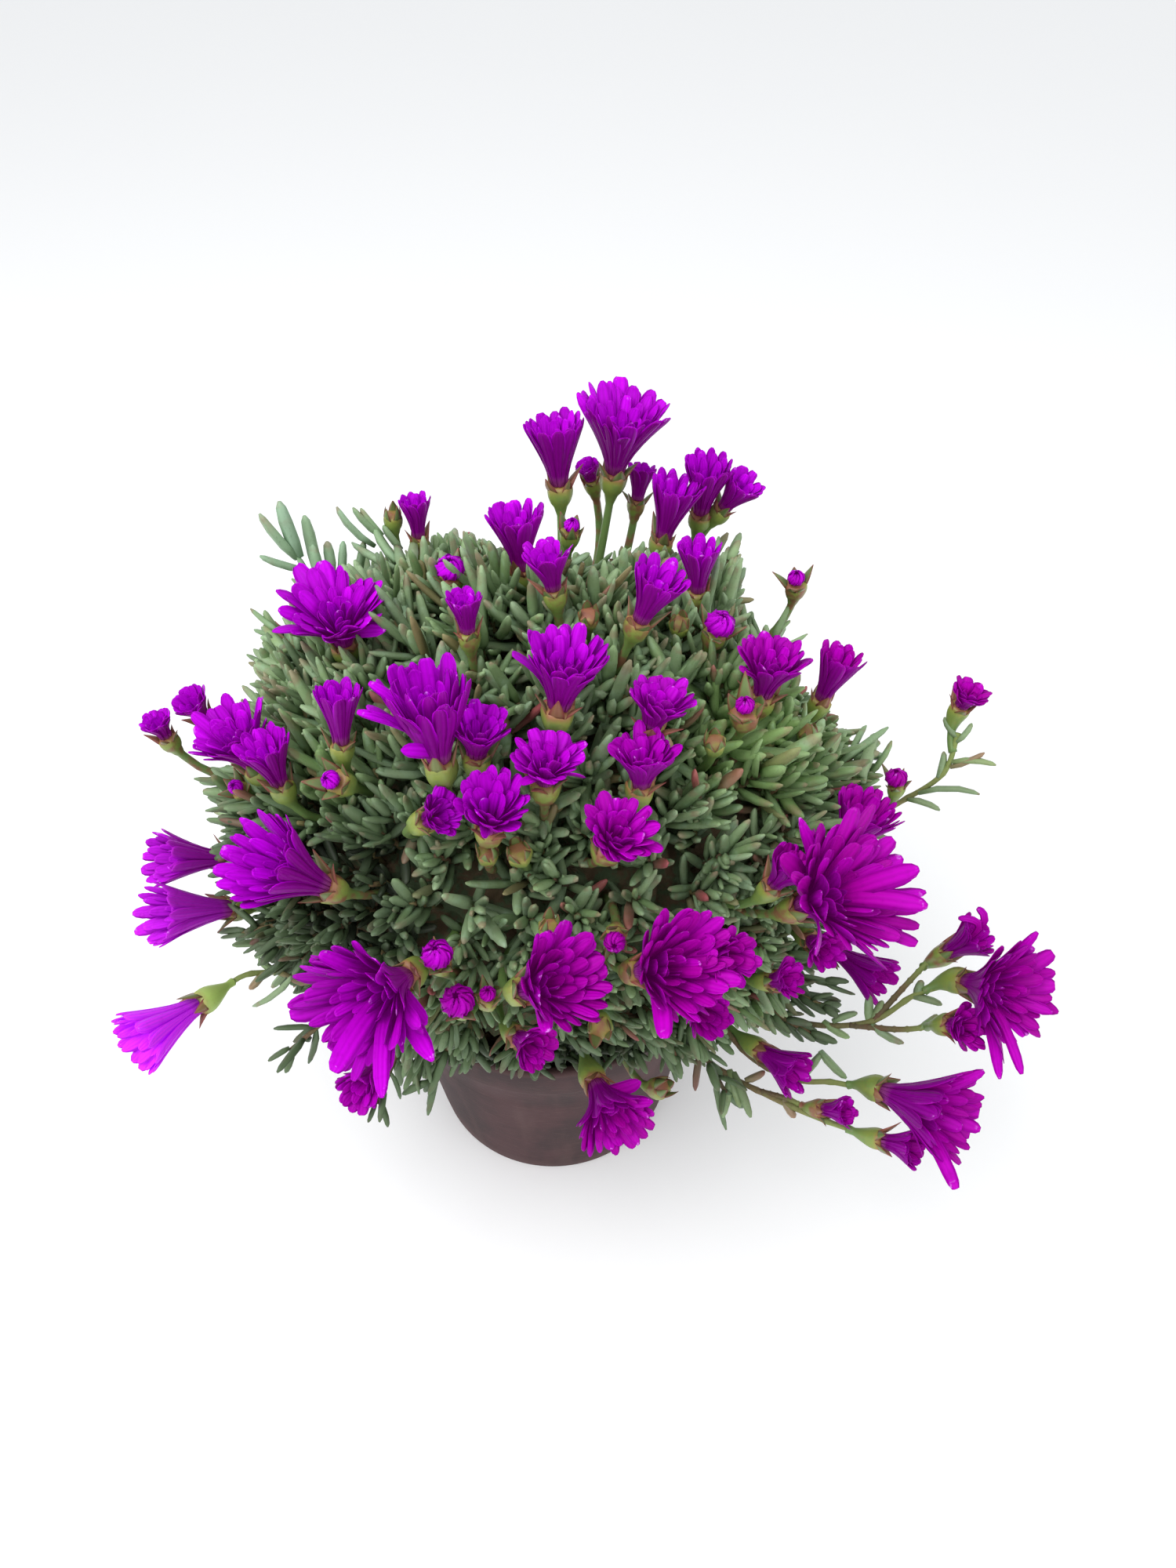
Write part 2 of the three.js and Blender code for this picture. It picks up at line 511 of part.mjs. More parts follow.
// The petals: an outer ring whose tips stand out of the rim, and an inner ring
// whose tips show between them, around a hollow throat.
function petals(flower, draw) {
  const { wide, petals: count } = flower;
  const { seat, facing, long } = standing(flower);
  const spread = THREE.MathUtils.smoothstep(wide / long, 0.35, 0.75);
  const notch = THREE.MathUtils.lerp(0.18, 0.42, spread);
  const reaches = Array.from({ length: count }, () => 1 - 0.16 * draw());
  const rim = reaches.flatMap((reach) => [reach, 0.84 - notch * 0.25]);
  const rimHeights = reaches.flatMap((reach) => [long * reach, long * (1 - notch)]);
  const throat = CALYX.top * calyxSize(flower) * 0.8 - 0.6;
  const levels = [ring(count, [throat], [GAP])];
  if (wide >= 10) {
    const body = wide * THREE.MathUtils.lerp(0.62, 0.42, spread);
    levels.push(ring(count * 2, [body * 1.06, body * 0.94], [long * 0.5]));
  }
  levels.push(ring(count * 2, rim.map((share) => share * wide), rimHeights));
  levels.push(ring(count * 2, [wide * 0.5, wide * 0.62], [long * 0.62, long * (0.94 - notch * 0.4)]));
  levels.push(ring(1, [0], [long * 0.42]));
  return solidOf(stood(skin(levels, true), seat, facing));
}

// Keeping clear

// Each flower's petals as a cone that leaves keep out of.
const PETAL_CONES = FLOWERS.map((flower) => {
  const { seat, facing, long } = standing(flower);
  return { seat, facing, long, wide: flower.wide };
});

function insideACone(place, margin) {
  return PETAL_CONES.some(({ seat, facing, long, wide }) => {
    const away = place.clone().sub(seat);
    const along = away.dot(facing);
    if (along < -margin || along > long + margin) return false;
    const share = THREE.MathUtils.clamp(along / long, 0, 1);
    const radius = CALYX.top + (wide - CALYX.top) * Math.min(1, share * 1.15) + margin;
    return away.addScaledVector(facing, -along).length() < radius;
  });
}

function insideThePot(place, margin) {
  const fromAxis = Math.hypot(place.x, place.y);
  return fromAxis < POT.topRadius + margin && place.z < POT.height + margin;
}

// A stretch of stalk or stem, as places along a curve with a radius at each, so
// that leaves stay off it.
function stretchOf(curve, count, owner, radiusAt) {
  return curve.getSpacedPoints(count).map((place, i) => ({ place, owner, radius: radiusAt(i / count) }));
}

function nearAStretch(place, stretches, margin) {
  return stretches.some((one) => one.place.distanceTo(place) < one.radius + margin);
}

// A place moved towards the middle of its clump until it is clear of the cuts.
function drawnIn(place, clump, margin) {
  const middle = outwards((clump.from + clump.to) / 2, 0);
  const inner = place.clone();
  while (insideSlice(inner, clump) < margin) inner.addScaledVector(middle, 0.5);
  return inner;
}

// How far a place lies inside its clump's slice, across the nearer cut.
function insideSlice(place, clump) {
  const away = place.clone().sub(MOUND.centre).setZ(0);
  const first = outwards(clump.from, 0);
  const last = outwards(clump.to, 0);
  const fromFirst = first.x * away.y - first.y * away.x;
  const fromLast = away.x * last.y - away.y * last.x;
  return Math.min(fromFirst, fromLast);
}

// The mound

function onCore(unit) {
  return unit.clone().multiplyScalar(MOUND.coreShare).multiply(MOUND.reach).add(MOUND.centre);
}

// How long a leaf of the mound can grow along a direction, or 0 for none.
function roomFor(root, direction, stretches) {
  const lengths = [1.15, 0.85, 0.6, 0.4].map((share) => share * LEAF.length);
  const fits = lengths.find((length) =>
    [0.25, 0.6, 1].every((share) => {
      const place = root.clone().addScaledVector(direction, length * share);
      const half = LEAF.width * (1.1 - share) * 0.7;
      const crowded = insideThePot(place, half + 1) || insideACone(place, half + 0.8);
      return !crowded && !nearAStretch(place, stretches, half + 0.5);
    }),
  );
  return fits ?? 0;
}

// The core of the mound, with a leaf standing on each facet that has room.
function leafyMound(draw, stretches) {
  const sphere = new THREE.IcosahedronGeometry(1, MOUND.detail).attributes.position;
  const corners = [];
  for (let i = 0; i < sphere.count; i += 3) {
    const facet = [0, 1, 2].map((j) => onCore(new THREE.Vector3().fromBufferAttribute(sphere, i + j)));
    const root = new THREE.Vector3();
    for (const corner of facet) root.addScaledVector(corner, 1 / 3);
    const out = root.clone().sub(MOUND.centre).divide(MOUND.reach).divide(MOUND.reach).normalize();
    const wave = root.clone().multiplyScalar(0.045);
    const sway = new THREE.Vector3(Math.sin(wave.y * 2 + wave.z), Math.sin(wave.z * 2 + 1), Math.sin(wave.x * 2));
    const direction = out.clone().addScaledVector(sway, LEAF.sway * (0.8 + 0.4 * draw())).normalize();
    const isLow = root.z < MOUND.centre.z + MOUND.reach.z * LEAF.lowest;
    const length = isLow ? 0 : roomFor(root, direction, stretches) * (0.85 + 0.15 * draw());
    if (length === 0) {
      corners.push(...facet);
      continue;
    }
    const feet = facet.map((corner) => root.clone().lerp(corner, LEAF.foot).addScaledVector(out, 0.8));
    const tip = root.clone().addScaledVector(direction, length);
    for (let j = 0; j < 3; j += 1) {
      const k = (j + 1) % 3;
      corners.push(facet[j], facet[k], feet[k], facet[j], feet[k], feet[j], feet[j], feet[k], tip);
    }
  }
  const under = new THREE.CylinderGeometry(MOUND.undersideRadius, MOUND.undersideRadius, 200, 20);
  under.rotateX(Math.PI / 2).translate(0, 0, MOUND.underside - 100);
  return solidOf(new THREE.BufferGeometry().setFromPoints(corners)).subtract(solidOf(under));
}

// A tall wedge between a clump's two bearings, drawn in by half the gap.
function slice(clump) {
  const far = 400;
  const middle = outwards((clump.from + clump.to) / 2, 0);
  const halfTurn = THREE.MathUtils.degToRad((clump.to - clump.from) / 2);
  const tip = middle.clone().multiplyScalar((GAP * 0.6) / Math.sin(halfTurn));
  const outline = new THREE.Shape();
  outline.moveTo(tip.x, tip.y);
  for (const turn of [clump.from, (clump.from + clump.to) / 2, clump.to]) {
    const corner = outwards(turn, 0).multiplyScalar(far).add(tip);
    outline.lineTo(corner.x, corner.y);
  }
  const wedge = new THREE.ExtrudeGeometry(outline, { depth: 500, bevelEnabled: false });
  return solidOf(wedge.translate(MOUND.centre.x, MOUND.centre.y, 0));
}

// A clump's woody stem, from its foot in the mix up into the core.
function woodyStem(clump) {
  const foot = stemFoot(clump);
  const top = MOUND.underside + 12;
  const stem = new THREE.CylinderGeometry(WOODY.radius * 0.9, WOODY.radius, top - foot.z, WOODY.sides);
  return solidOf(stem.rotateX(Math.PI / 2).translate(foot.x, foot.y, (top + foot.z) / 2));
}

// The trailing stems as curves, out of the core or out of another stem.
function stemCurves() {
  const curves = new Map();
  for (const { name, from, at, seen, lift = 0 } of STEMS) {
    const places = seen.map((point) => onMound(point, lift));
    const root = from === undefined ? onShell(places[0], MOUND.coreShare - 0.08) : curves.get(from).getPointAt(at);
    curves.set(name, new THREE.CatmullRomCurve3([root, ...places]));
  }
  return curves;
}

function tubeAlong(curve, radius, steps) {
  const length = curve.getLength();
  const levels = Array.from({ length: steps + 1 }, (_, i) => [4, radius, (length * i) / steps]);
  return solidOf(bent(roundSkin(levels), curve, length));
}

const STEM_CURVES = stemCurves();

// The clump that a trailing stem belongs to, by the root that it or its parent has.
function clumpOfStem(name) {
  const { from } = STEMS.find((stem) => stem.name === name);
  return from === undefined ? clumpAt(STEM_CURVES.get(name).getPointAt(0)) : clumpOfStem(from);
}

// Where a flower's stalk grows from: its trailing stem's end, or the core.
function rootOf(flower, seat, facing) {
  if (flower.on !== undefined) return STEM_CURVES.get(flower.on).getPointAt(0.985);
  const behind = seat.clone().addScaledVector(facing, -16);
  const toward = outness(behind) > MOUND.coreShare ? behind : seat;
  const root = onShell(toward, MOUND.coreShare - 0.05);
  return drawnIn(root, CLUMPS[clumpAt(root)], 4);
}

// The trailing stems with their leaf pairs.
function addStems(gathered, stretches) {
  for (const stem of STEMS) {
    const curve = STEM_CURVES.get(stem.name);
    const owner = clumpOfStem(stem.name);
    const steps = stem.from === undefined ? 5 : 3;
    gathered[owner].solids.push(tubeAlong(curve, STEM_RADIUS, steps));
    stretches.push(...stretchOf(curve, 30, owner, (share) => (share > 0.35 ? 4 : STEM_RADIUS)));
    for (let i = 0; i < stem.pairs; i += 1) {
      const share = (steps - 1 - i) / steps;
      const pair = leafPair(curve.getPointAt(share), curve.getTangentAt(share), i * 1.57 + 0.4, 15);
      gathered[owner].leaves.push(...pair);
    }
  }
}

// The stalks and calyces of the flowers and buds.
function addFlowerGreens(gathered, stretches) {
  for (const flower of [...FLOWERS, ...BUDS]) {
    const { seat, facing } = standing(flower);
    const root = rootOf(flower, seat, facing);
    const owner = flower.on === undefined ? clumpAt(root) : clumpOfStem(flower.on);
    const isBud = flower.long === undefined;
    const size = isBud ? 0.72 : calyxSize(flower);
    const stalk = stalkCurve(root, seat, facing);
    const green = isBud ? budGreen(stalk, facing, size, flower.opening) : [flowerGreen(stalk, size)];
    gathered[owner].solids.push(...green);
    const belly = CALYX.belly * size;
    stretches.push(...stretchOf(stalk, 12, owner, (share) => (share > 0.55 ? belly : STALK_RADIUS)));
    stretches.push({ place: seat.clone().addScaledVector(facing, 3), owner, radius: CALYX.sepal * size });
  }
}

// The leafy shoots that stand out of the mound.
function addShoots(gathered, stretches, draw) {
  for (const shoot of SHOOTS) {
    const deep = onShell(onMound(shoot.root, 0), MOUND.coreShare - 0.06);
    const owner = clumpAt(deep);
    const root = drawnIn(deep, CLUMPS[owner], 4);
    const tip = onMound(shoot.tip, 0);
    const along = tip.clone().sub(root);
    const length = along.length() - 10;
    along.normalize();
    const curve = new THREE.LineCurve3(root, root.clone().addScaledVector(along, length));
    const stalk = roundSkin([[3, STEM_RADIUS, 0], [3, STEM_RADIUS, length], [3, 2.3, length + 5], [1, 0, length + 15]]);
    gathered[owner].solids.push(solidOf(stood(stalk, root, along)));
    stretches.push(...stretchOf(curve, 12, owner, (share) => (share > 0.5 ? 4 : STEM_RADIUS)));
    for (let i = 0; i < shoot.pairs; i += 1) {
      const share = Math.max(0.3, 0.94 - (i * 9) / length);
      const pair = leafPair(curve.getPointAt(share), along, i * 1.57 + draw(), 17 - i);
      gathered[owner].leaves.push(...pair);
    }
  }
}

// Whether a leaf of a stem or shoot can grow: clear of the pot, the petals and
// the stalks and cuts of the other clumps.
function canGrow(one, owner, stretches) {
  const others = stretches.filter((stretch) => stretch.owner !== owner);
  return [0, 0.35, 0.7, 1].every((share) => {
    const place = one.root.clone().addScaledVector(one.direction, one.length * share);
    const half = one.width * (share === 1 ? 0.2 : 0.6);
    if (insideThePot(place, half + 1) || insideACone(place, half + 0.8)) return false;
    if (outness(place) < 1.12 && insideSlice(place, CLUMPS[owner]) < half + 0.5) return false;
    return !nearAStretch(place, others, half + 0.6);
  });
}

function clumpSolids() {
  const draw = drawsFrom(20260);
  const gathered = CLUMPS.map(() => ({ solids: [], leaves: [] }));
  const stretches = [];
  addStems(gathered, stretches);
  addFlowerGreens(gathered, stretches);
  addShoots(gathered, stretches, draw);
  const mound = leafyMound(draw, stretches);
  return CLUMPS.map((clump, owner) => {
    const { solids, leaves } = gathered[owner];
    const blades = leaves.filter((one) => canGrow(one, owner, stretches)).map(leaf);
    return joined([mound.intersect(slice(clump)), woodyStem(clump), ...solids, ...blades]);
  });
}

function bloomSolids() {
  const draw = drawsFrom(7);
  const blooms = new Map();
  for (const flower of FLOWERS) {
    const before = blooms.get(flower.node) ?? [];
    blooms.set(flower.node, [...before, petals(flower, draw)]);
  }
  return blooms;
}

// The plant

const BROWN_PLASTIC = new THREE.MeshStandardMaterial({ color: 0x5d4845, roughness: 0.55 });
const DARK_MIX = new THREE.MeshStandardMaterial({ color: 0x2b211a, roughness: 0.95 });
const LEAF_GREEN = new THREE.MeshStandardMaterial({ color: 0x4a6b4c, roughness: 0.6 });
const PETAL_PURPLE = new THREE.MeshStandardMaterial({ color: 0x9a00b4, roughness: 0.45 });

function meshOf(name, solid, material) {
  const mesh = new THREE.Mesh(geometryOf(solid), material);
  mesh.name = name;
  return mesh;
}

const plant = new THREE.Group();
plant.add(meshOf("pot", pot(), BROWN_PLASTIC));
plant.add(meshOf("potting_mix", pottingMix(), DARK_MIX));
clumpSolids().forEach((solid, i) => plant.add(meshOf(CLUMPS[i].name, solid, LEAF_GREEN)));
for (const [name, solids] of bloomSolids()) plant.add(meshOf(name, joined(solids), PETAL_PURPLE));

export default plant;
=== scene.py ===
"""A lampranthus in flower in a round plastic pot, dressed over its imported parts.

Sizes are in millimetres here and become metres when a mesh is made. The origin is
the middle of the pot's underside, +Z is up, and the plant is seen along +Y.
"""

import json
import logging
import math
from dataclasses import dataclass, field
from enum import Enum
from typing import Optional, Union

import bpy
import numpy as np
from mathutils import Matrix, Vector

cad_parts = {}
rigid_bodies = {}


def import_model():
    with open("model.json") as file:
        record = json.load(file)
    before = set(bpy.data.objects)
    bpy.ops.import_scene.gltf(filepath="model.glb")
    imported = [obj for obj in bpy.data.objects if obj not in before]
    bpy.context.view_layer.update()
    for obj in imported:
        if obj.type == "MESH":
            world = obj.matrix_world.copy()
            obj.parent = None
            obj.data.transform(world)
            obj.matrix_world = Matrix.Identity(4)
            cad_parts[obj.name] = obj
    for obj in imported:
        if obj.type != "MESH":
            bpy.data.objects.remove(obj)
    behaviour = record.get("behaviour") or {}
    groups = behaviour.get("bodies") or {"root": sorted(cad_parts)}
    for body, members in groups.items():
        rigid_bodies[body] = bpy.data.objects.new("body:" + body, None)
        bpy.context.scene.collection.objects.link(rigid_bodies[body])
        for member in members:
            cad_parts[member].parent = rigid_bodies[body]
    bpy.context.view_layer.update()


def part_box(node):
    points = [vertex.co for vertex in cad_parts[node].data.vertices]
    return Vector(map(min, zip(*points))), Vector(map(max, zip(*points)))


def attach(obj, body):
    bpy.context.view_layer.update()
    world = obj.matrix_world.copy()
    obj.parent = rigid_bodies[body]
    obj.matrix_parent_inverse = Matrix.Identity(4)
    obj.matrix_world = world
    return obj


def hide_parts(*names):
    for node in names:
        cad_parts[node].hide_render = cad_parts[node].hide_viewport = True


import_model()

Array = np.ndarray
Rng = np.random.Generator
Number = Union[float, Array]
Colour = tuple[float, float, float, float]
Spot = tuple[float, float, float]
Pixel = tuple[float, float]

MM = 0.001
LOG = logging.getLogger("lampranthus")
TURN = 2 * math.pi
EAST, NORTH, UP = np.eye(3)
WHITE: Colour = (1.0, 1.0, 1.0, 1.0)


def srgb(red: float, green: float, blue: float) -> Colour:
    """Turns a screen colour into the linear colour that a shader takes.

    Args:
        red: Red, 0 to 255.
        green: Green, 0 to 255.
        blue: Blue, 0 to 255.

    Returns:
        The linear colour with full alpha.
    """
    shares = [part / 255 for part in (red, green, blue)]
    linear = [s / 12.92 if s <= 0.04045 else ((s + 0.055) / 1.055) ** 2.4 for s in shares]
    return (linear[0], linear[1], linear[2], 1.0)


def unit(vectors: Array) -> Array:
    """Scales vectors along the last axis to length 1."""
    return vectors / np.maximum(np.linalg.norm(vectors, axis=-1, keepdims=True), 1e-9)


def smooth(values: Number, low: float, high: float) -> Array:
    """Eases values from 0 at low to 1 at high."""
    share = np.clip((np.asarray(values, float) - low) / (high - low), 0, 1)
    return share * share * (3 - 2 * share)


def lerp(start: float, end: float, share: Number) -> Number:
    """The value that lies a share of the way from start to end."""
    return start + (end - start) * share


def spokes(turns: Array, out: Number = 1.0, up: Number = 0.0) -> Array:
    """Steps away from an upright axis.

    Args:
        turns: Their bearings in radians.
        out: How far each goes out.
        up: How far each goes up.

    Returns:
        The steps along the last axis.
    """
    parts = np.broadcast_arrays(np.cos(turns) * out, np.sin(turns) * out, up)
    return np.stack(parts, axis=-1)


def stacked(levels: Array) -> Array:
    """The ring centres of one upright body on the pot's axis."""
    return UP * np.array(levels, float)[None, :, None]


def bent(start: Array, bend: Array, end: Array, shares: Array) -> Array:
    """Points of a line that bends once.

    Args:
        start: Where it starts.
        bend: The place that it leans to on its way.
        end: Where it ends.
        shares: How far along each point is, 0 to 1.

    Returns:
        The points.
    """
    share = shares[:, None]
    return start * (1 - share) ** 2 + bend * 2 * share * (1 - share) + end * share**2


class ClumpName(Enum):
    """The four leafy clumps, by where they stand in the pot."""

    RIGHT = "right"
    BACK = "back"
    LEFT = "left"
    FRONT = "front"


@dataclass(frozen=True)
class Clump:
    """A slice of the mound between two bearings in degrees, from +X towards +Y."""

    name: ClumpName
    start: float
    end: float

    @property
    def node(self) -> str:
        """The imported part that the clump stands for."""
        return f"leafy_clump_{self.name.value}"

    @property
    def middle(self) -> Array:
        """The level direction through the clump's middle."""
        turn = math.radians((self.start + self.end) / 2)
        return np.array([math.cos(turn), math.sin(turn), 0.0])


CLUMPS = (
    Clump(ClumpName.RIGHT, -38, 44),
    Clump(ClumpName.BACK, 44, 142),
    Clump(ClumpName.LEFT, 142, 230),
    Clump(ClumpName.FRONT, 230, 322),
)


@dataclass(frozen=True)
class Eye:
    """The eye that the plant was measured by, which is also the camera's."""

    spot: Spot = (16, -294, 486)
    pitch: float = math.radians(45)
    focal: float = 1444
    middle: Pixel = (750, 1000)

    @property
    def place(self) -> Array:
        """Where the eye is."""
        return np.array(self.spot, float)

    def ray(self, seen: Pixel) -> Array:
        """The direction that a pixel is seen in.

        Args:
            seen: A pixel of the 1500 by 2000 picture.

        Returns:
            A unit vector.
        """
        forward = np.array([0, math.cos(self.pitch), -math.sin(self.pitch)]) * self.focal
        upward = np.array([0, math.sin(self.pitch), math.cos(self.pitch)])
        aside = np.array([seen[0] - self.middle[0], 0, 0])
        return unit(forward + aside + upward * (self.middle[1] - seen[1]))

    def abreast(self, seen: Pixel, place: Array, ahead: float = 0.0) -> Array:
        """The place on a pixel's ray that lies abreast of another place.

        Args:
            seen: The pixel.
            place: The other place.
            ahead: How much nearer to the eye it is.

        Returns:
            The place on the ray.
        """
        ray = self.ray(seen)
        return self.place + ray * ((place - self.place) @ ray - ahead)

    def pixels(self, places: Array) -> Array:
        """Where places are seen.

        Args:
            places: Places along the last axis.

        Returns:
            Pixels along the last axis.
        """
        away = places - self.place
        depth = away[..., 1] * math.cos(self.pitch) - away[..., 2] * math.sin(self.pitch)
        up = away[..., 1] * math.sin(self.pitch) + away[..., 2] * math.cos(self.pitch)
        across = self.middle[0] + self.focal * away[..., 0] / depth
        down = self.middle[1] - self.focal * up / depth
        return np.stack([across, down], axis=-1)


EYE = Eye()


@dataclass(frozen=True)
class Mound:
    """The dome of foliage, as an ellipsoid through its leaf tips. margin is how far
    from the cuts between the clumps a stalk starts, which it nears in steps."""

    middle: Spot = (0, 13, 161)
    reach: Spot = (124, 103, 114)
    core_share: float = 0.85
    underside: float = 111
    underside_radius: float = 77
    margin: float = 4
    step: float = 0.5
    steps: int = 80

    @property
    def centre(self) -> Array:
        """The ellipsoid's middle."""
        return np.array(self.middle, float)

    @property
    def radii(self) -> Array:
        """The ellipsoid's half axes."""
        return np.array(self.reach, float)

    def meet(self, seen: Pixel, lift: float) -> Array:
        """Where a pixel's ray meets the mound or passes it most closely.

        Args:
            seen: A pixel of the picture.
            lift: How much nearer to the eye the place is.

        Returns:
            The place.
        """
        ray = EYE.ray(seen)
        start = (EYE.place - self.centre) / self.radii
        run = ray / self.radii
        half = start @ run
        inside = half * half - (run @ run) * (start @ start - 1)
        far = (-half - math.sqrt(max(0.0, inside))) / (run @ run)
        return EYE.place + ray * (far - lift)

    def outness(self, places: Array) -> Array:
        """How far out places are: 1 on the leaf tips."""
        return np.linalg.norm((places - self.centre) / self.radii, axis=-1)

    def on_shell(self, place: Array, share: float) -> Array:
        """A place's twin on a shell inside the mound, towards its centre."""
        return self.centre + (place - self.centre) * share / self.outness(place)

    def clump_indices(self, places: Array) -> Array:
        """The clumps that places stand in, by their bearings.

        Args:
            places: Places along the last axis.

        Returns:
            Indices in CLUMPS.
        """
        away = places - self.centre
        turns = np.degrees(np.arctan2(away[..., 1], away[..., 0]))
        turns = np.where(turns < CLUMPS[0].start, turns + 360, turns)
        ends = np.array([clump.end for clump in CLUMPS])
        return np.minimum(np.searchsorted(ends, turns, side="right"), len(CLUMPS) - 1)

    def drawn_in(self, place: Array) -> tuple[Array, int]:
        """Moves a place towards its clump's middle until it is clear of the cuts.

        Args:
            place: The place.

        Returns:
            The moved place and the index of its clump.
        """
        owner = int(self.clump_indices(place))
        clump = CLUMPS[owner]
        edges = [math.radians(clump.start), math.radians(clump.end)]
        first, last = ([math.cos(turn), math.sin(turn)] for turn in edges)
        inner = place.copy()
        for _ in range(self.steps):
            x, y = (inner - self.centre)[:2]
            if min(first[0] * y - first[1] * x, x * last[1] - y * last[0]) >= self.margin:
                break
            inner = inner + clump.middle * self.step
        return inner, owner


MOUND = Mound()


def smooth_line(places: Array, count: int) -> Array:
    """A smooth curve through places, as evenly spaced points.

    Args:
        places: The places that the curve passes.
        count: How many points it gives.

    Returns:
        The points.
    """
    first, last = 2 * places[0] - places[1], 2 * places[-1] - places[-2]
    knots = np.vstack([first, places, last])
    found = []
    for i in range(1, len(knots) - 2):
        before, start, end, after = knots[i - 1 : i + 3]
        gaps = [math.sqrt(np.linalg.norm(step)) for step in (start - before, end - start, after - end)]
        leave = (start - before) / gaps[0] - (end - before) / (gaps[0] + gaps[1]) + (end - start) / gaps[1]
        arrive = (end - start) / gaps[1] - (after - start) / (gaps[1] + gaps[2]) + (after - end) / gaps[2]
        share = np.linspace(0, 1, 40)[:, None]
        square, cube = share**2, share**3
        found.append(
            (2 * cube - 3 * square + 1) * start
            + (cube - 2 * square + share) * leave * gaps[1]
            + (3 * square - 2 * cube) * end
            + (cube - square) * arrive * gaps[1]
        )
    return evenly(np.vstack(found), np.linspace(0, 1, count))


def evenly(line: Array, shares: Array) -> Array:
    """Points at shares of a line's length.

    Args:
        line: Points of the line.
        shares: Shares of its length, 0 to 1.

    Returns:
        One point for each share.
    """
    steps = np.linalg.norm(np.diff(line, axis=0), axis=1)
    walked = np.concatenate([[0], np.cumsum(steps)])
    return np.stack([np.interp(shares * walked[-1], walked, line[:, k]) for k in range(3)], axis=1)


@dataclass(frozen=True)
class Standing:
    """Where a flower or bud sits and the way that it faces."""

    seat: Array
    facing: Array

    def ring(self, turns: Array, lean: Spot = (0.13, 0.32, 0.94)) -> tuple[Array, Array]:
        """Directions round the flower's axis.

        Args:
            turns: How far round each is, in radians.
            lean: A direction off the axis that the turns are counted from.

        Returns:
            The directions away from the axis and along the ring.
        """
        aside = unit(np.cross(np.array(lean), self.facing))
        above = np.cross(self.facing, aside)
        cosines, sines = np.cos(turns)[..., None], np.sin(turns)[..., None]
        return cosines * aside + sines * above, -sines * aside + cosines * above


@dataclass(frozen=True)
class Flower:
    """A flower: seat is where the petals leave the calyx and mouth the middle of
    their open end, both as seen. long runs between them, and wide is the mouth's
    radius. A flower at the back has a bearing and climb in degrees in their place.
    gathered is how much closer together most of its petals stand.
    """

    node: str
    seat: Optional[Pixel] = None
    mouth: Optional[Pixel] = None
    long: float = 8
    wide: float = 4
    lift: float = 0
    on: Optional[str] = None
    bearing: float = 0
    climb: float = 0
    pale: float = 0
    gathered: float = 0

    @property
    def size(self) -> float:
        """The size of the calyx, which grows with the flower."""
        return min(max(0.5 + self.wide * 0.045, 0.72), 1.05)

    @property
    def cup(self) -> float:
        """How round the calyx is, which it is high up and less so low down."""
        return (1 - self.warmth) * (1 - self.pale)

    @property
    def spread(self) -> float:
        """How open the flower is, 0 to 1."""
        return float(smooth(self.wide / self.long, 0.35, 0.85))

    @property
    def warmth(self) -> float:
        """How far its purple leans to magenta, which it does low down and in front."""
        if self.seat is None:
            return 0.5
        return float(smooth(self.seat[0] + self.seat[1], 1560, 2000))

    def standing(self) -> Standing:
        """Works out where the flower sits and faces.

        Returns:
            Its seat and facing.
        """
        if self.seat is None or self.mouth is None:
            turn, rise = math.radians(self.bearing), math.radians(self.climb)
            level = math.cos(rise)
            out = np.array([math.cos(turn) * level, math.sin(turn) * level, math.sin(rise)])
            seat = MOUND.on_shell(MOUND.centre + out, 1) + out * 14
            return Standing(seat, unit(out + UP * 0.45))
        seat = MOUND.meet(self.seat, self.lift)
        nearest = EYE.abreast(self.mouth, seat)
        aside = np.linalg.norm(nearest - seat)
        back = math.sqrt(max(0.0, self.long**2 - aside**2))
        return Standing(seat, unit(nearest - EYE.ray(self.mouth) * back - seat))


@dataclass(frozen=True)
class Bud(Flower):
    """A bud. opening is the radius of the folded petals between the sepals, or 0."""

    node: str = ""
    opening: float = 0
    calyx: float = 0.72
    roundness: float = 0.85

    @property
    def size(self) -> float:
        """The size of the calyx."""
        return self.calyx

    @property
    def cup(self) -> float:
        """How round the calyx is."""
        return self.roundness


@dataclass(frozen=True)
class Trailer:
    """A stem that trails out of the mound, through places as seen. A branch leaves
    another stem, parent, at a share of its length."""

    name: str
    seen: tuple[Pixel, ...]
    parent: Optional[str] = None
    at: float = 0
    lift: float = 0


@dataclass(frozen=True)
class StrayPetal:
    """A petal that strays from its flower, as seen at its tip. half is half its
    width, leave how far it follows the flower before it bends away, as a share of
    the flower's length, and ahead how much nearer to the eye its tip is."""

    node: str
    tip: Pixel
    half: float = 2.4
    leave: float = 0.35
    ahead: float = 3


@dataclass(frozen=True)
class LoneLeaf:
    """A single leaf as seen from root to tip. curl is how far it bends upwards, or
    down below 0, and half is half its width."""

    root: Pixel
    tip: Pixel
    lift: float
    curl: float
    half: float = 1.7
    pale: float = 0


@dataclass(frozen=True)
class Shoot:
    """A leafy shoot that stands out of the outline, as seen from root to tip."""

    root: Pixel
    tip: Pixel
    pairs: int = 4
    leaf: float = 15
    pale: float = 0


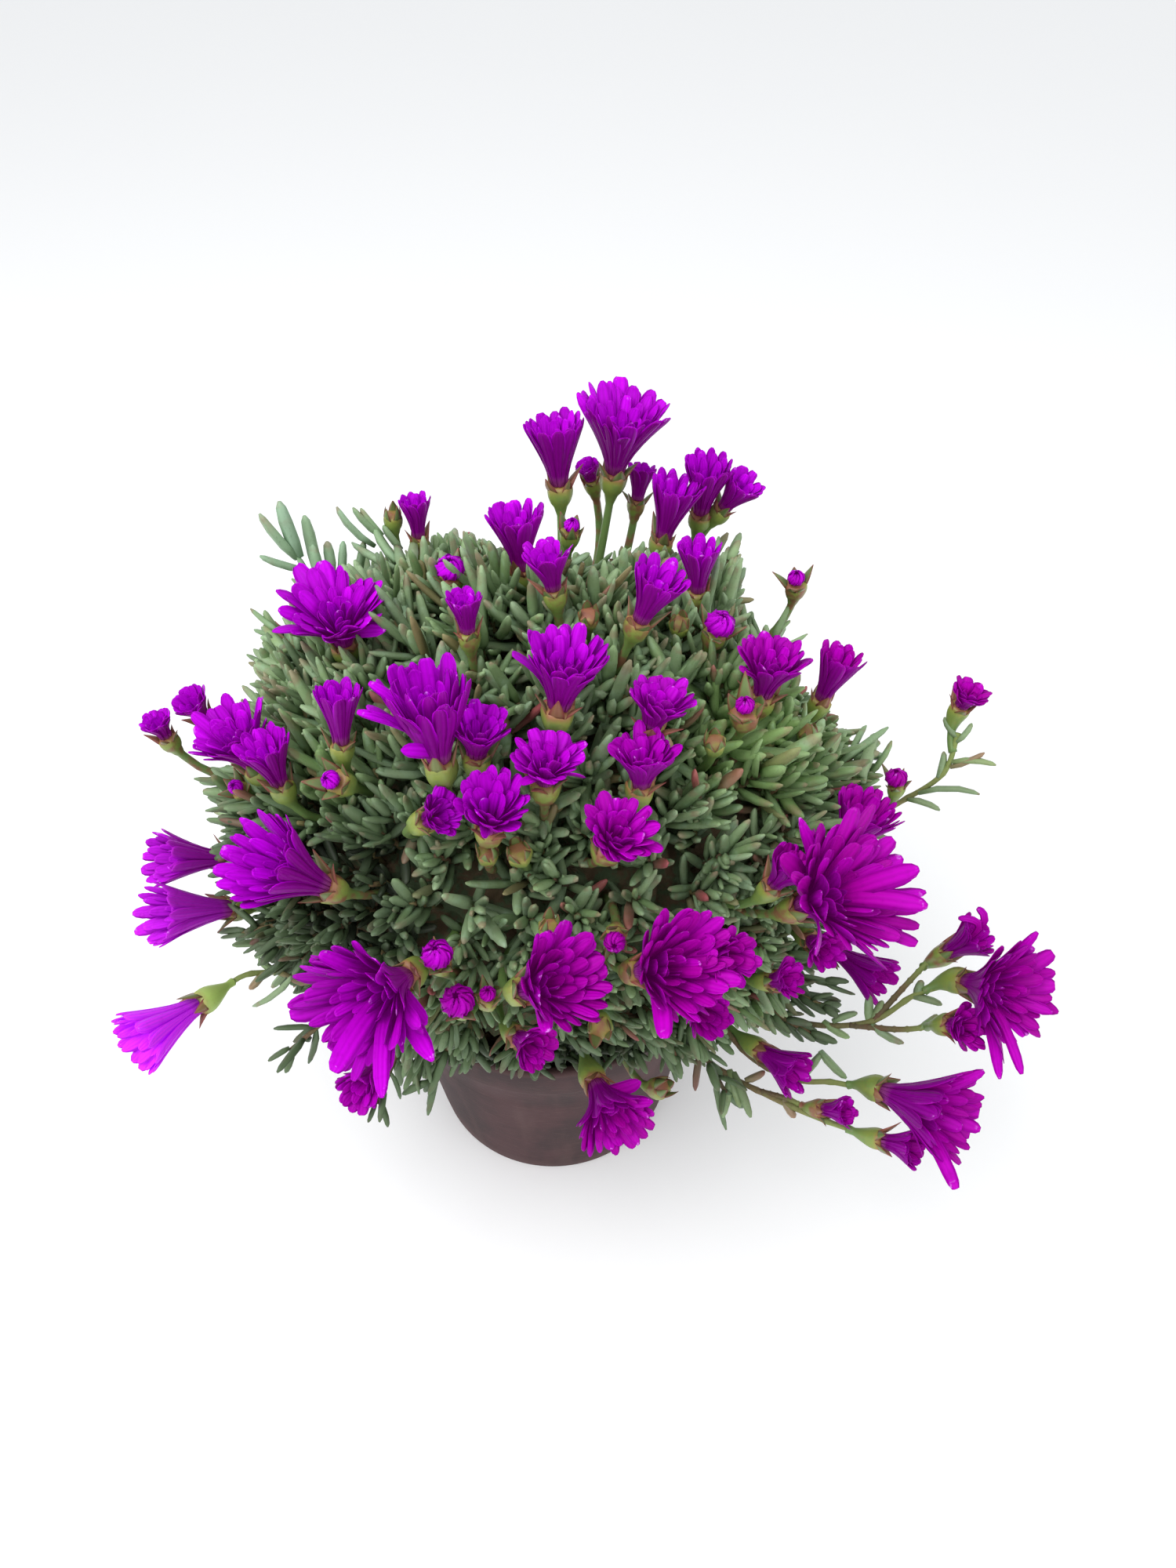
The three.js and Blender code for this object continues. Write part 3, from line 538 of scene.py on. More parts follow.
FLOWERS = (
    Flower("bloom_crown_tallest", (784, 602), (799, 507), 28, 16.5),
    Flower("bloom_crown_left_funnel", (713, 618), (706, 533), 24, 10.5, 6),
    Flower("bloom_crown_small_dark", (754, 612), (747, 590), 7.5, 4.5, -13),
    Flower("bloom_crown_narrow", (813, 637), (820, 594), 13, 5, -12),
    Flower("bloom_crown_right_funnel", (846, 685), (866, 611), 23, 9.5, 8),
    Flower("bloom_crown_right_high", (894, 654), (906, 588), 22, 8.5, -6),
    Flower("bloom_crown_right_edge", (923, 648), (955, 611), 15.5, 7, -6),
    Flower("bloom_back_left_funnel", (665, 725), (656, 648), 21.5, 9.5),
    Flower("bloom_back_middle", (706, 751), (695, 697), 15, 7.5, 14),
    Flower("bloom_back_slender", (534, 685), (528, 634), 15.5, 5.6),
    Flower("bloom_right_of_crown", (890, 754), (893, 694), 17.5, 7, 6),
    Flower("bloom_leaning_right", (817, 791), (848, 728), 19, 8.5, 16),
    Flower("bloom_red_sepalled", (597, 806), (591, 758), 13, 5.3, 12),
    Flower("bloom_right_shoulder", (973, 885), (991, 825), 19, 11.5, 6),
    Flower("bloom_right_shoulder_narrow", (1048, 891), (1077, 831), 20, 7.5, 4),
    Flower("bloom_middle_funnel", (713, 901), (726, 820), 22.5, 12.5, 16),
    Flower("bloom_middle_right", (831, 926), (848, 876), 15, 10, 15),
    Flower("bloom_left_shoulder_open", (438, 818), (422, 758), 21.5, 18, 4),
    Flower("bloom_left_narrow", (435, 947), (430, 876), 19.5, 7, 13),
    Flower("blooms_left_centre_pair", (560, 970), (538, 850), 31.5, 17, 18, gathered=0.24),
    Flower("blooms_left_centre_pair", (608, 962), (611, 914), 14.5, 9.5, 13),
    Flower("blooms_left_edge_pair", (325, 975), (284, 920), 21.5, 14, 4),
    Flower("blooms_left_edge_pair", (357, 999), (332, 943), 18, 8.5, 8),
    Flower("bloom_left_edge_behind", (261, 915), (238, 889), 12, 7),
    Flower("bloom_left_edge_small", (212, 939), (195, 915), 9.5, 6, 6),
    Flower("bloom_centre_rosette", (696, 995), (698, 955), 13, 11.5, 14),
    Flower("bloom_centre_right", (817, 1000), (823, 947), 15.8, 9.8, 13),
    Flower("bloom_centre_facing", (625, 1054), (630, 1013), 16.5, 10.5, 16),
    Flower("bloom_centre_dark", (545, 1046), (571, 1034), 9.5, 8, 15),
    Flower("bloom_centre_fan", (778, 1079), (798, 1051), 15, 11.8, 14),
    Flower("bloom_far_right_small", (1226, 900), (1243, 877), 10, 7.5, -10, on="stem_right_upper"),
    Flower("blooms_right_pair", (1022, 1157), (1114, 1122), 30.5, 25, 22),
    Flower("bloom_right_upper", (1075, 1086), (1114, 1022), 24, 11.5, -2),
    Flower("blooms_right_pair", (987, 1128), (1016, 1095), 14, 7.6, 16),
    Flower("bloom_left_low_upper", (284, 1095), (198, 1095), 26.5, 9.5, 2, pale=0.4),
    Flower("bloom_left_low_lower", (292, 1159), (192, 1167), 31, 11, 2, pale=0.52),
    Flower("bloom_left_lower_open", (413, 1130), (318, 1090), 30, 14.5, 14),
    Flower("bloom_left_pale_trailing", (252, 1282), (167, 1335), 27, 11.5, 6, on="stem_left", pale=1),
    Flower("bloom_front_left_largest", (517, 1246), (435, 1297), 31, 21, 20),
    Flower("bloom_front_left_under", (478, 1362), (450, 1398), 16.5, 9, 2),
    Flower("bloom_front_middle", (671, 1262), (733, 1243), 25.5, 15.5, 18),
    Flower("bloom_front_middle_under", (661, 1323), (690, 1342), 13, 8, 6),
    Flower("blooms_front_right_pair", (819, 1238), (886, 1228), 28, 16.5, 18),
    Flower("bloom_front_right_under", (883, 1283), (909, 1297), 14, 8, 14),
    Flower("blooms_front_right_pair", (915, 1216), (944, 1226), 12, 9, 26),
    Flower("bloom_front_low", (760, 1383), (791, 1446), 23, 14, 10),
    Flower("bloom_right_small", (985, 1251), (1014, 1248), 10.5, 6.6, 8),
    Flower("bloom_right_under_inner", (1035, 1200), (1060, 1216), 13, 7.5, -4),
    Flower("bloom_right_under_outer", (1068, 1215), (1130, 1255), 22.5, 9, -8),
    Flower("bloom_right_low", (971, 1341), (1022, 1374), 19, 9, 4),
    Flower("blooms_far_right_pair", (1232, 1253), (1312, 1272), 26.5, 21, 4, on="stem_right_middle"),
    Flower("blooms_far_right_pair", (1213, 1308), (1243, 1310), 11.5, 8.5, 13, on="stem_right_middle_low"),
    Flower("bloom_far_right_upper", (1208, 1215), (1254, 1190), 16.5, 8, -4, on="stem_right_middle_high"),
    Flower("blooms_low_right_pair", (1127, 1392), (1230, 1432), 31.5, 17, 4, on="stem_right_lower_high"),
    Flower("blooms_low_right_pair", (1127, 1455), (1172, 1466), 13.5, 7, 2, on="stem_right_lower"),
    Flower("bloom_low_right_small", (1050, 1415), (1084, 1418), 11, 5.6, 4, on="stem_right_lower_middle"),
    Flower("bloom_back_right_low", long=25, wide=14, bearing=52, climb=-3),
    Flower("bloom_back_left_low", long=28, wide=16, bearing=128, climb=-6),
    Flower("bloom_back_centre_low", long=22, wide=9, bearing=86, climb=-10),
)

STRAY_PETALS = tuple(
    StrayPetal(node, *row)
    for node, rows in {
        "bloom_front_left_largest": (
            ((409, 1217), 2.3, 0.25), ((552, 1353), 2.9, 0.3, 4), ((543, 1306), 2.6, 0.25, 2),
            ((487, 1400), 2.4, 0.45, 4), ((426, 1367), 3.3, 0.5, 6),
        ),
        "bloom_front_middle": (((697, 1316), 2.3, 0.35),),
        "blooms_front_right_pair": (((848, 1324), 2.7, 0.35, 5),),
        "blooms_right_pair": (
            ((1020, 1043), 1.9, 0.45, 6), ((1183, 1156), 3, 0.7, 4), ((1172, 1108), 3.1, 0.7, 4),
        ),
        "bloom_left_shoulder_open": (((492, 803), 2.5, 0.3),),
        "bloom_far_right_upper": (
            ((1222, 1171), 1.5, 1.6, 2), ((1246, 1158), 1.4, 1.5, 0),
        ),
        "blooms_far_right_pair": (
            ((1323, 1189), 1.7, 0.35, 0), ((1275, 1376), 1.9, 0.35), ((1303, 1370), 1.8, 0.5),
        ),
        "blooms_low_right_pair": (
            ((1255, 1366), 2.1, 0.4, 0), ((1219, 1516), 2.4, 0.5),
        ),
        "blooms_left_centre_pair": (
            ((512, 957), 2.1, 0.12, 7), ((456, 908), 1.4, 0.35, 2), ((471, 871), 1.5, 0.45, 0),
        ),
        "bloom_front_low": (
            ((817, 1380), 2.4, 0.3), ((833, 1405), 2.1, 0.4),
        ),
    }.items()
    for row in rows
)

BUDS = (
    *(
        Bud(seat=seat, mouth=mouth, opening=opening, lift=lift, calyx=calyx)
        for seat, mouth, opening, lift, calyx in (
            ((728, 677), (731, 655), 2.6, 4, 0.82), ((575, 734), (573, 712), 4.6, 12, 0.85),
            ((914, 805), (923, 784), 4.8, 10, 0.85), ((1015, 744), (1016, 724), 3, 0, 0.85),
            ((950, 906), (950, 886), 2.8, 16, 1), ((912, 945), (913, 928), 0, 14, 0.72),
            ((1143, 1000), (1143, 980), 4, 0, 0.72), ((560, 1226), (554, 1208), 4.8, 14, 0.72),
            ((586, 1284), (581, 1270), 5.4, 14, 0.72), ((785, 1196), (783, 1212), 3.2, 12, 0.72),
            ((701, 1180), (703, 1160), 0, 12, 0.72), ((428, 997), (408, 990), 2.8, 14, 0.95),
            ((622, 1086), (622, 1070), 0, 8, 0.72), ((661, 1086), (656, 1072), 0, 10, 0.82),
            ((846, 1386), (864, 1380), 0, 8, 0.9), ((765, 1312), (764, 1326), 0, 12, 0.88),
            ((304, 1006), (292, 998), 2.4, 6, 0.72), ((867, 794), (868, 778), 0, 8, 0.72),
            ((1030, 932), (1032, 916), 0, 8, 0.72), ((622, 1272), (622, 1256), 2.4, 10, 0.72),
            ((501, 656), (500, 632), 0, 0, 0.72), ((751, 784), (751, 768), 0, 10, 0.72),
        )
    ),
    Bud(bearing=66, climb=12, opening=3),
    Bud(bearing=108, climb=4),
)

TRAILERS = (
    Trailer("stem_right_upper", ((1070, 1056), (1150, 1022), (1204, 985), (1222, 935)), lift=-12),
    Trailer("stem_right_middle", ((1010, 1300), (1110, 1303), (1165, 1270), (1200, 1258))),
    Trailer("stem_right_middle_low", ((1150, 1313), (1190, 1309)), "stem_right_middle", 0.6),
    Trailer("stem_right_middle_high", ((1150, 1262), (1182, 1228)), "stem_right_middle", 0.7),
    Trailer("stem_right_lower", ((900, 1350), (985, 1400), (1060, 1432), (1102, 1446))),
    Trailer("stem_right_lower_middle", ((1005, 1402), (1026, 1412)), "stem_right_lower", 0.55),
    Trailer("stem_right_lower_high", ((960, 1350), (1020, 1378), (1060, 1380), (1100, 1388))),
    Trailer("stem_left", ((400, 1250), (350, 1240), (312, 1244), (278, 1266))),
)

LONE_LEAVES = tuple(
    LoneLeaf(*row)
    for row in (
        ((1158, 1020), (1200, 1034), -12, -0.5), ((1172, 1012), (1254, 1012), -12, -0.7),
        ((1196, 992), (1204, 958), -12, 0.4), ((1212, 978), (1256, 960), -12, 0.3),
        ((1214, 972), (1272, 976), -12, -0.5), ((1220, 946), (1240, 922), -12, 0.5),
        ((1221, 940), (1204, 914), -12, 0.5), ((1168, 1270), (1176, 1250), 0, 0.3),
        ((1166, 1272), (1202, 1282), 0, -0.4), ((1108, 1304), (1108, 1268), 0, 0.3),
        ((1112, 1302), (1126, 1276), 0, 0.3), ((1112, 1306), (1154, 1332), 0, 0.6),
        ((1172, 1312), (1196, 1294), 0, 0.3), ((1062, 1303), (1094, 1292), 0, -0.3),
        ((1050, 1302), (1084, 1324), 0, 0.4), ((1046, 1340), (1080, 1376), 0, 0.4),
        ((1018, 1376), (1048, 1342), 0, 0.4), ((934, 1366), (922, 1426), 0, 0.3),
        ((936, 1368), (958, 1426), 0, -0.3), ((930, 1364), (944, 1412), 0, 0.1),
        ((950, 1378), (976, 1366), 0, 0.4), ((1000, 1402), (1014, 1426), 0, 0.4),
        ((1040, 1420), (1060, 1404), 0, 0.4), ((336, 1240), (318, 1262), 0, 0.4),
        ((372, 1246), (322, 1284), 0, 0.4), ((352, 1240), (330, 1222), 0, 0.3),
        ((416, 775), (379, 708), 0, 0.1, 1.5, 0.6), ((379, 712), (331, 655), 0, 0.2, 2.3, 0.9),
        ((382, 710), (356, 639), 0, 0.2, 2.7, 1), ((404, 728), (388, 657), 0, -0.3, 2.3, 0.7),
        ((386, 726), (331, 709), 0, 0.3, 2.1, 0.8), ((412, 745), (398, 690), 0, 0.3, 2.2, 0.9),
        ((424, 732), (417, 690), 0, -0.4, 2.1, 0.7), ((436, 738), (438, 690), 0, 0.2, 1.7, 0.9),
        ((454, 738), (464, 690), 0, 0.2, 1.8, 0.5), ((462, 762), (475, 722), 0, 0.2, 1.9, 0.3),
        ((478, 696), (427, 645), 0, 0.6, 1.9, 0.7), ((486, 684), (450, 647), 0, 0.3, 1.8, 0.5),
        ((488, 682), (460, 648), 0, 0.3, 1.7, 0.6), ((506, 716), (477, 672), 0, 0.5, 1.9, 0.5),
        ((512, 700), (489, 670), 0, 0.2, 1.9, 0.4), ((503, 724), (449, 692), 0, 0.2, 1.8, 0.5),
        ((530, 748), (478, 720), 0, 0.4, 2.3, 0.3), ((520, 742), (506, 694), 0, 0.3, 2, 0.4),
        ((524, 728), (528, 690), 0, 0.3, 2, 0.2), ((494, 786), (496, 754), 0, 0.2, 1.7, 0.3),
        ((518, 790), (512, 764), 0, 0.2, 1.6, 0.3), ((580, 708), (580, 674), 0, 0.1, 1.6, 0.1),
        ((604, 712), (601, 680), 0, 0.1, 1.8, 0.1), ((796, 726), (817, 697), 0, 0.2, 1.6, 0.1),
        ((362, 812), (337, 778), 0, 0.4, 2, 0.1), ((366, 830), (337, 797), 0, 0.3, 2, 0.1),
        ((362, 850), (324, 828), 0, 0.3, 2, 0.1), ((1098, 990), (1116, 936), 0, -0.2, 2.4, 0.2),
        ((1106, 990), (1138, 944), 0, 0.4, 1.8, 0.2), ((1100, 998), (1100, 950), 0, -0.4, 2, 0.1),
    )
)

SHOOTS = (
    Shoot((380, 860), (335, 790), 4, 15, 0.3),
    Shoot((330, 1085), (275, 1040), 4, 13),
    Shoot((350, 1200), (285, 1195), 4, 13),
    Shoot((930, 780), (940, 690), 5, 14),
    Shoot((1000, 860), (1008, 785), 4, 13),
    Shoot((1080, 1010), (1125, 945), 5, 15, 0.3),
    Shoot((1000, 1285), (1084, 1258), 6, 11),
    Shoot((1000, 1300), (1080, 1296), 6, 11),
    Shoot((990, 1310), (1062, 1334), 6, 10),
    Shoot((980, 1300), (1030, 1318), 5, 10),
    Shoot((398, 1322), (346, 1360), 3, 13),
    Shoot((570, 1350), (540, 1402), 4, 13),
    Shoot((460, 1370), (470, 1436), 4, 13),
    Shoot((910, 1350), (940, 1420), 4, 13),
)


SKYLINE = (
    (235, 1010), (262, 985), (296, 940), (318, 860), (335, 785), (385, 745), (440, 722),
    (500, 700), (560, 684), (600, 684), (640, 700), (700, 704), (745, 708), (790, 704),
    (850, 700), (900, 692), (926, 676), (946, 672), (949, 760), (960, 822), (1000, 850),
    (1045, 888), (1085, 934), (1120, 942), (1132, 985), (1140, 1060),
)


@dataclass(frozen=True)
class Wire:
    """A value that flows out of a node, with arithmetic that adds Math nodes."""

    bench: "Bench"
    socket: bpy.types.NodeSocket

    def _math(self, operation: str, *operands: "Value") -> "Wire":
        """Adds a Math node."""
        return self.bench.node("ShaderNodeMath", {"operation": operation}, dict(enumerate(operands)))

    def __add__(self, other: "Value") -> "Wire":
        """The sum."""
        return self._math("ADD", self, other)

    def __sub__(self, other: "Value") -> "Wire":
        """The difference."""
        return self._math("SUBTRACT", self, other)

    def __rsub__(self, other: float) -> "Wire":
        """The difference from a number."""
        return self._math("SUBTRACT", other, self)

    def __mul__(self, other: "Value") -> "Wire":
        """The product."""
        return self._math("MULTIPLY", self, other)

    def __abs__(self) -> "Wire":
        """The size without its sign."""
        return self._math("ABSOLUTE", self)

    def __pow__(self, other: "Value") -> "Wire":
        """The power."""
        return self._math("POWER", self, other)

    __radd__, __rmul__ = __add__, __mul__

    def sine(self) -> "Wire":
        """The sine."""
        return self._math("SINE", self)

    def ease(self, low: float, high: float) -> "Wire":
        """Eases from 0 at low to 1 at high."""
        sockets = {"Value": self, "From Min": low, "From Max": high}
        return self.bench.node("ShaderNodeMapRange", {"interpolation_type": "SMOOTHSTEP"}, sockets)


Value = Union[Wire, float, Colour]


class Bench:
    """The nodes of one material."""

    def __init__(self, name: str) -> None:
        """Makes an empty material.

        Args:
            name: The material's name.
        """
        self.material = bpy.data.materials.new(name)
        self.material.use_nodes = True
        self.tree = self.material.node_tree
        self.shader = self.tree.nodes["Principled BSDF"]

    def node(
        self,
        kind: str,
        settings: dict[str, object],
        sockets: dict[Union[str, int], Value],
        output: Union[str, int] = 0,
    ) -> Wire:
        """Adds a node.

        Args:
            kind: The node's type.
            settings: Its settings, which are set first.
            sockets: The values or wires of its inputs, by name or number.
            output: The output that is used.

        Returns:
            The output's wire.
        """
        made = self.tree.nodes.new(kind)
        for key, value in settings.items():
            setattr(made, key, value)
        for key, value in sockets.items():
            self.feed(made.inputs[key], value)
        return Wire(self, made.outputs[output])

    def feed(self, target: bpy.types.NodeSocket, value: Value) -> None:
        """Gives an input what it takes.

        Args:
            target: The input.
            value: The wire that is linked to it, or its value.
        """
        if isinstance(value, Wire):
            self.tree.links.new(value.socket, target)
        else:
            target.default_value = value

    def marks(self, names: str) -> list[Wire]:
        """Values that the mesh carries on its points, by names with spaces between."""
        kind = "ShaderNodeAttribute"
        return [self.node(kind, {"attribute_name": name}, {}, "Fac") for name in names.split()]

    def noise(self, grain: float, detail: float = 3, stretch: Optional[Spot] = None) -> Wire:
        """Soft random clouds on the object.

        Args:
            grain: The size of a cloud in millimetres.
            detail: How many finer layers it has.
            stretch: Factors on the three directions.

        Returns:
            A value from 0 to 1.
        """
        where = self.node("ShaderNodeTexCoord", {}, {}, "Object")
        if stretch is not None:
            where = self.node("ShaderNodeVectorMath", {"operation": "MULTIPLY"}, {0: where, 1: stretch})
        sockets = {"Vector": where, "Scale": 1000 / grain, "Detail": detail}
        return self.node("ShaderNodeTexNoise", {}, sockets)

    def mix(self, colour: Value, *coats: tuple[Value, Value]) -> Value:
        """Lays coats of colour over a first one.

        Args:
            colour: The first colour.
            *coats: Each coat's colour and how much of it there is.

        Returns:
            The mixed colour.
        """
        settings = {"data_type": "RGBA", "clamp_factor": True}
        for coat, share in coats:
            colour = self.node("ShaderNodeMix", settings, {0: share, 6: colour, 7: coat}, 2)
        return colour

    def finish(
        self,
        colour: Value,
        roughness: Value,
        specular: float = 0.5,
        height: Optional[Wire] = None,
        relief: float = 0.1,
        glow: Value = WHITE,
        strength: float = 0.0,
    ) -> bpy.types.Material:
        """Feeds the shader.

        Args:
            colour: The colour.
            roughness: The roughness.
            specular: How much it mirrors.
            height: What stands up from the surface, if anything.
            relief: How far it stands up, in millimetres.
            glow: The colour that it glows in.
            strength: How much it glows.

        Returns:
            The material.
        """
        inputs = {"Base Color": colour, "Roughness": roughness, "Specular IOR Level": specular}
        inputs |= {"Emission Color": glow, "Emission Strength": strength}
        if height is not None:
            sockets = {"Strength": 1.0, "Distance": relief * MM, "Height": height}
            inputs["Normal"] = self.node("ShaderNodeBump", {}, sockets)
        for key, value in inputs.items():
            self.feed(self.shader.inputs[key], value)
        return self.material


@dataclass(frozen=True)
class PetalFinish:
    """Satin petals: bright on the face, duller and finely striped on the back, and pale
    where they leave the calyx. Their tips and rims are lightened with painted highlight
    and carry painted glints, they darken towards the base with painted shade, and a
    faint emission is a painted glow. Low flowers are more magenta."""

    face: Colour = srgb(180, 0, 206)
    magenta: Colour = srgb(170, 0, 158)
    # The edge colour and its magenta twin are painted highlight colours for the lit tips and rims.
    edge: Colour = srgb(222, 4, 255)
    rim_highlight_magenta: Colour = srgb(200, 0, 204)
    back: Colour = srgb(128, 2, 136)
    # deep darkens the veins and random clouds, and is also the painted shade towards the petal base.
    deep: Colour = srgb(92, 0, 92)
    foot: Colour = srgb(196, 110, 176)
    washed: Colour = srgb(236, 58, 255)
    # The next colour is the emission colour of pale flowers, a painted glow.
    pale_glow: Colour = (0.1, 0.0, 0.2, 1.0)
    lilac: Colour = srgb(150, 50, 214)
    # glint is a painted highlight colour for specks at the tips.
    glint: Colour = srgb(238, 150, 255)
    # glow is the petals' faint emission colour, a painted glow.
    glow: Colour = (0.03, 0.0, 0.024, 1.0)
    roughness: float = 0.5

    def made(self) -> bpy.types.Material:
        """Makes the material.

        Returns:
            The material.
        """
        bench = Bench("satin_petal")
        along, across, face, tone, pale, warm = bench.marks("along across face tone pale warm")
        clouds = bench.noise(3, 4)
        stripes = (across * 11 + clouds * 2).sine() * 0.5 + 0.5
        front = face.ease(-0.4, 0.5)
        # tip is the painted highlight colour of the lit tips and rims.
        tip = bench.mix(self.edge, (self.rim_highlight_magenta, warm))
        foot = (1 - along).ease(0.8, 1.0) * (1 - front * 0.7)
        # Specks where the painted glints sit.
        glint_specks = bench.noise(1.6, 1).ease(0.6, 0.7) * tone.ease(0.6, 0.8)
        colour = bench.mix(
            self.back,
            (bench.mix(self.face, (self.magenta, warm)), front),
            # Painted highlight: the tips grow lighter, more so on the face.
            (tip, along.ease(0.45, 1.0) * (tone**2) * 0.85 * (0.3 + front * 0.7)),
            # Painted shade: darker towards the petal base, deep in the flower.
            (self.deep, (1 - along).ease(0.5, 1.0) * (0.15 + tone * 0.25)),
            (self.deep, stripes * (1 - front * 0.5) * (1 - along * 0.4) * 0.5),
            # Painted highlight: a lit rim along the petal edges towards the tip.
            (tip, abs(across).ease(0.72, 1.0) * along.ease(0.4, 0.9) * 0.6),
            (self.washed, pale * (0.45 + 0.45 * along)),
            (self.lilac, pale * stripes * (1 - front * 0.6) * 0.45),
            (self.foot, foot * (0.3 + 0.5 * stripes)),
            (self.deep, clouds.ease(0.52, 0.8) * 0.25),
            # Painted glints: pale highlight specks at the very tips.
            (self.glint, along.ease(0.93, 0.99) * glint_specks * 0.6),
        )
        # The emission is a painted glow, stronger on pale flowers.
        glow = bench.mix(self.glow, (self.pale_glow, pale.ease(0.4, 1.0)))
        return bench.finish(colour, self.roughness, 0.08, stripes * 0.6 + clouds * 0.4, 0.16, glow, 1.0)


@dataclass(frozen=True)
class LeafFinish:
    """Fleshy finger leaves under a thin waxy bloom, with reddened tips. Some are
    fresher, some have turned red, and some are dry. The bloom lies thicker on the
    upper faces, partly as real bloom and partly as painted light on them. Leaves deep
    in the mound, low down and at the lower left and right are darkened with painted
    shade, near black where it is deepest."""

    dark: Colour = srgb(76, 97, 66)
    grey: Colour = srgb(164, 188, 148)
    fresh: Colour = srgb(140, 178, 94)
    frost: Colour = srgb(158, 192, 164)
    # A painted shade colour for the darkest gaps in the mound.
    deep_shade: Colour = srgb(32, 38, 28)
    red: Colour = srgb(176, 62, 84)
    dry: Colour = srgb(142, 124, 84)
    tip: Colour = srgb(150, 104, 92)
    roughness: float = 0.52

    def made(self) -> bpy.types.Material:
        """Makes the material.

        Returns:
            The material.
        """
        bench = Bench("waxy_leaf")
        names = "along over tint deep fresh pale red dry"
        along, over, tint, deep, fresh, pale, red, dry = bench.marks(names)
        clouds, specks, patches = bench.noise(5, 4), bench.noise(0.8, 2), bench.noise(7, 2)
        colour = bench.mix(
            self.dark,
            (self.grey, tint * 0.75 + clouds * 0.35),
            (self.fresh, fresh),
            (self.frost, pale * 0.7),
            # Waxy bloom on the upper faces, partly real bloom and partly painted light.
            (self.frost, clouds.ease(0.45, 0.75) * over.ease(-0.2, 0.6) * 0.4),
            (self.tip, along.ease(0.5, 1.0) * patches.ease(0.5, 0.64) * 0.5),
            (self.red, red * (0.55 + 0.45 * along)),
            (self.dry, dry),
            # Painted shade: deep grows with how far inside the mound a leaf is and with shade painted by
            # place; past 1 the leaf turns near black.
            (self.dark, deep.ease(0.0, 1.0) * 0.55),
            (self.deep_shade, (deep - 1).ease(0.0, 1.0) * 0.85),
            (self.dark, specks.ease(0.55, 0.75) * 0.25),
        )
        return bench.finish(colour, self.roughness, 0.4, specks * 0.5 + clouds * 0.5, 0.12)


@dataclass(frozen=True)
class CalyxFinish:
    """Pale green stalks that turn yellow-green and glossy at the swollen calyx,
    whose sepals have thin reddish brown margins."""

    stalk: Colour = srgb(108, 138, 76)
    belly: Colour = srgb(138, 156, 72)
    ripe: Colour = srgb(176, 138, 72)
    sepal: Colour = srgb(110, 132, 76)
    margin: Colour = srgb(146, 60, 66)
    papery: Colour = srgb(160, 100, 78)
    light: Colour = srgb(176, 206, 110)
    roughness: float = 0.4

    def made(self) -> bpy.types.Material:
        """Makes the material.

        Returns:
            The material.
        """
        bench = Bench("glossy_calyx")
        along, across, tint, sepal, red, pale = bench.marks("along across tint sepal red pale")
        clouds, specks = bench.noise(4, 4), bench.noise(0.9, 2)
        worn = tint.ease(0.5, 0.8) * (0.45 + 0.55 * clouds.ease(0.35, 0.6))
        body = bench.mix(
            self.stalk,
            (self.belly, along.ease(0.45, 0.85)),
            (self.stalk, clouds.ease(0.4, 0.7) * 0.6),
            (self.ripe, along.ease(0.8, 1.0) * (0.25 + tint * 0.75)),
            (self.light, pale * 0.8),
            (self.margin, red * clouds.ease(0.4, 0.65) * 0.7),
            (self.papery, along.ease(0.93, 0.99) * clouds.ease(0.35, 0.6) * 0.8),
            (self.papery, along.ease(0.83, 0.93) * worn * 0.85),
        )
        leafy = bench.mix(
            self.sepal,
            (self.papery, tint.ease(0.35, 0.8) * 0.75),
            (self.margin, abs(across).ease(0.45, 0.97) * 0.75),
            (self.margin, along.ease(0.72, 1.0) * 0.8),
        )
        colour = bench.mix(body, (leafy, sepal), (self.papery, specks.ease(0.58, 0.75) * 0.3))
        return bench.finish(colour, self.roughness, 0.45, specks * 0.4 + clouds * 0.6, 0.15)


@dataclass(frozen=True)
class BarkFinish:
    """Thin woody stems, green-brown when young and grey-brown when old."""

    young: Colour = srgb(126, 118, 74)
    reddish: Colour = srgb(124, 82, 64)
    green: Colour = srgb(138, 160, 86)
    old: Colour = srgb(74, 60, 46)
    roughness: float = 0.75

    def made(self) -> bpy.types.Material:
        """Makes the material.

        Returns:
            The material.
        """
        bench = Bench("thin_bark")
        tint, green = bench.marks("tint green")
        clouds, rings = bench.noise(4, 5), bench.noise(0.9, 3)
        colour = bench.mix(
            self.old,
            (self.young, tint),
            (self.reddish, clouds.ease(0.42, 0.66) * 0.5),
            (self.old, rings.ease(0.5, 0.7) * 0.4),
            (self.green, green),
        )
        return bench.finish(colour, self.roughness, height=rings, relief=0.35)


@dataclass(frozen=True)
class ShadeFinish:
    """The shaded tangle of old growth inside the mound."""

    leaf: Colour = srgb(90, 106, 78)
    twig: Colour = srgb(106, 90, 70)
    roughness: float = 0.9

    def made(self) -> bpy.types.Material:
        """Makes the material.

        Returns:
            The material.
        """
        bench = Bench("shaded_growth")
        tangle = bench.noise(5, 6)
        colour = bench.mix(self.leaf, (self.twig, tangle.ease(0.42, 0.6)))
        return bench.finish(colour, self.roughness, 0.1, tangle, 1.5)


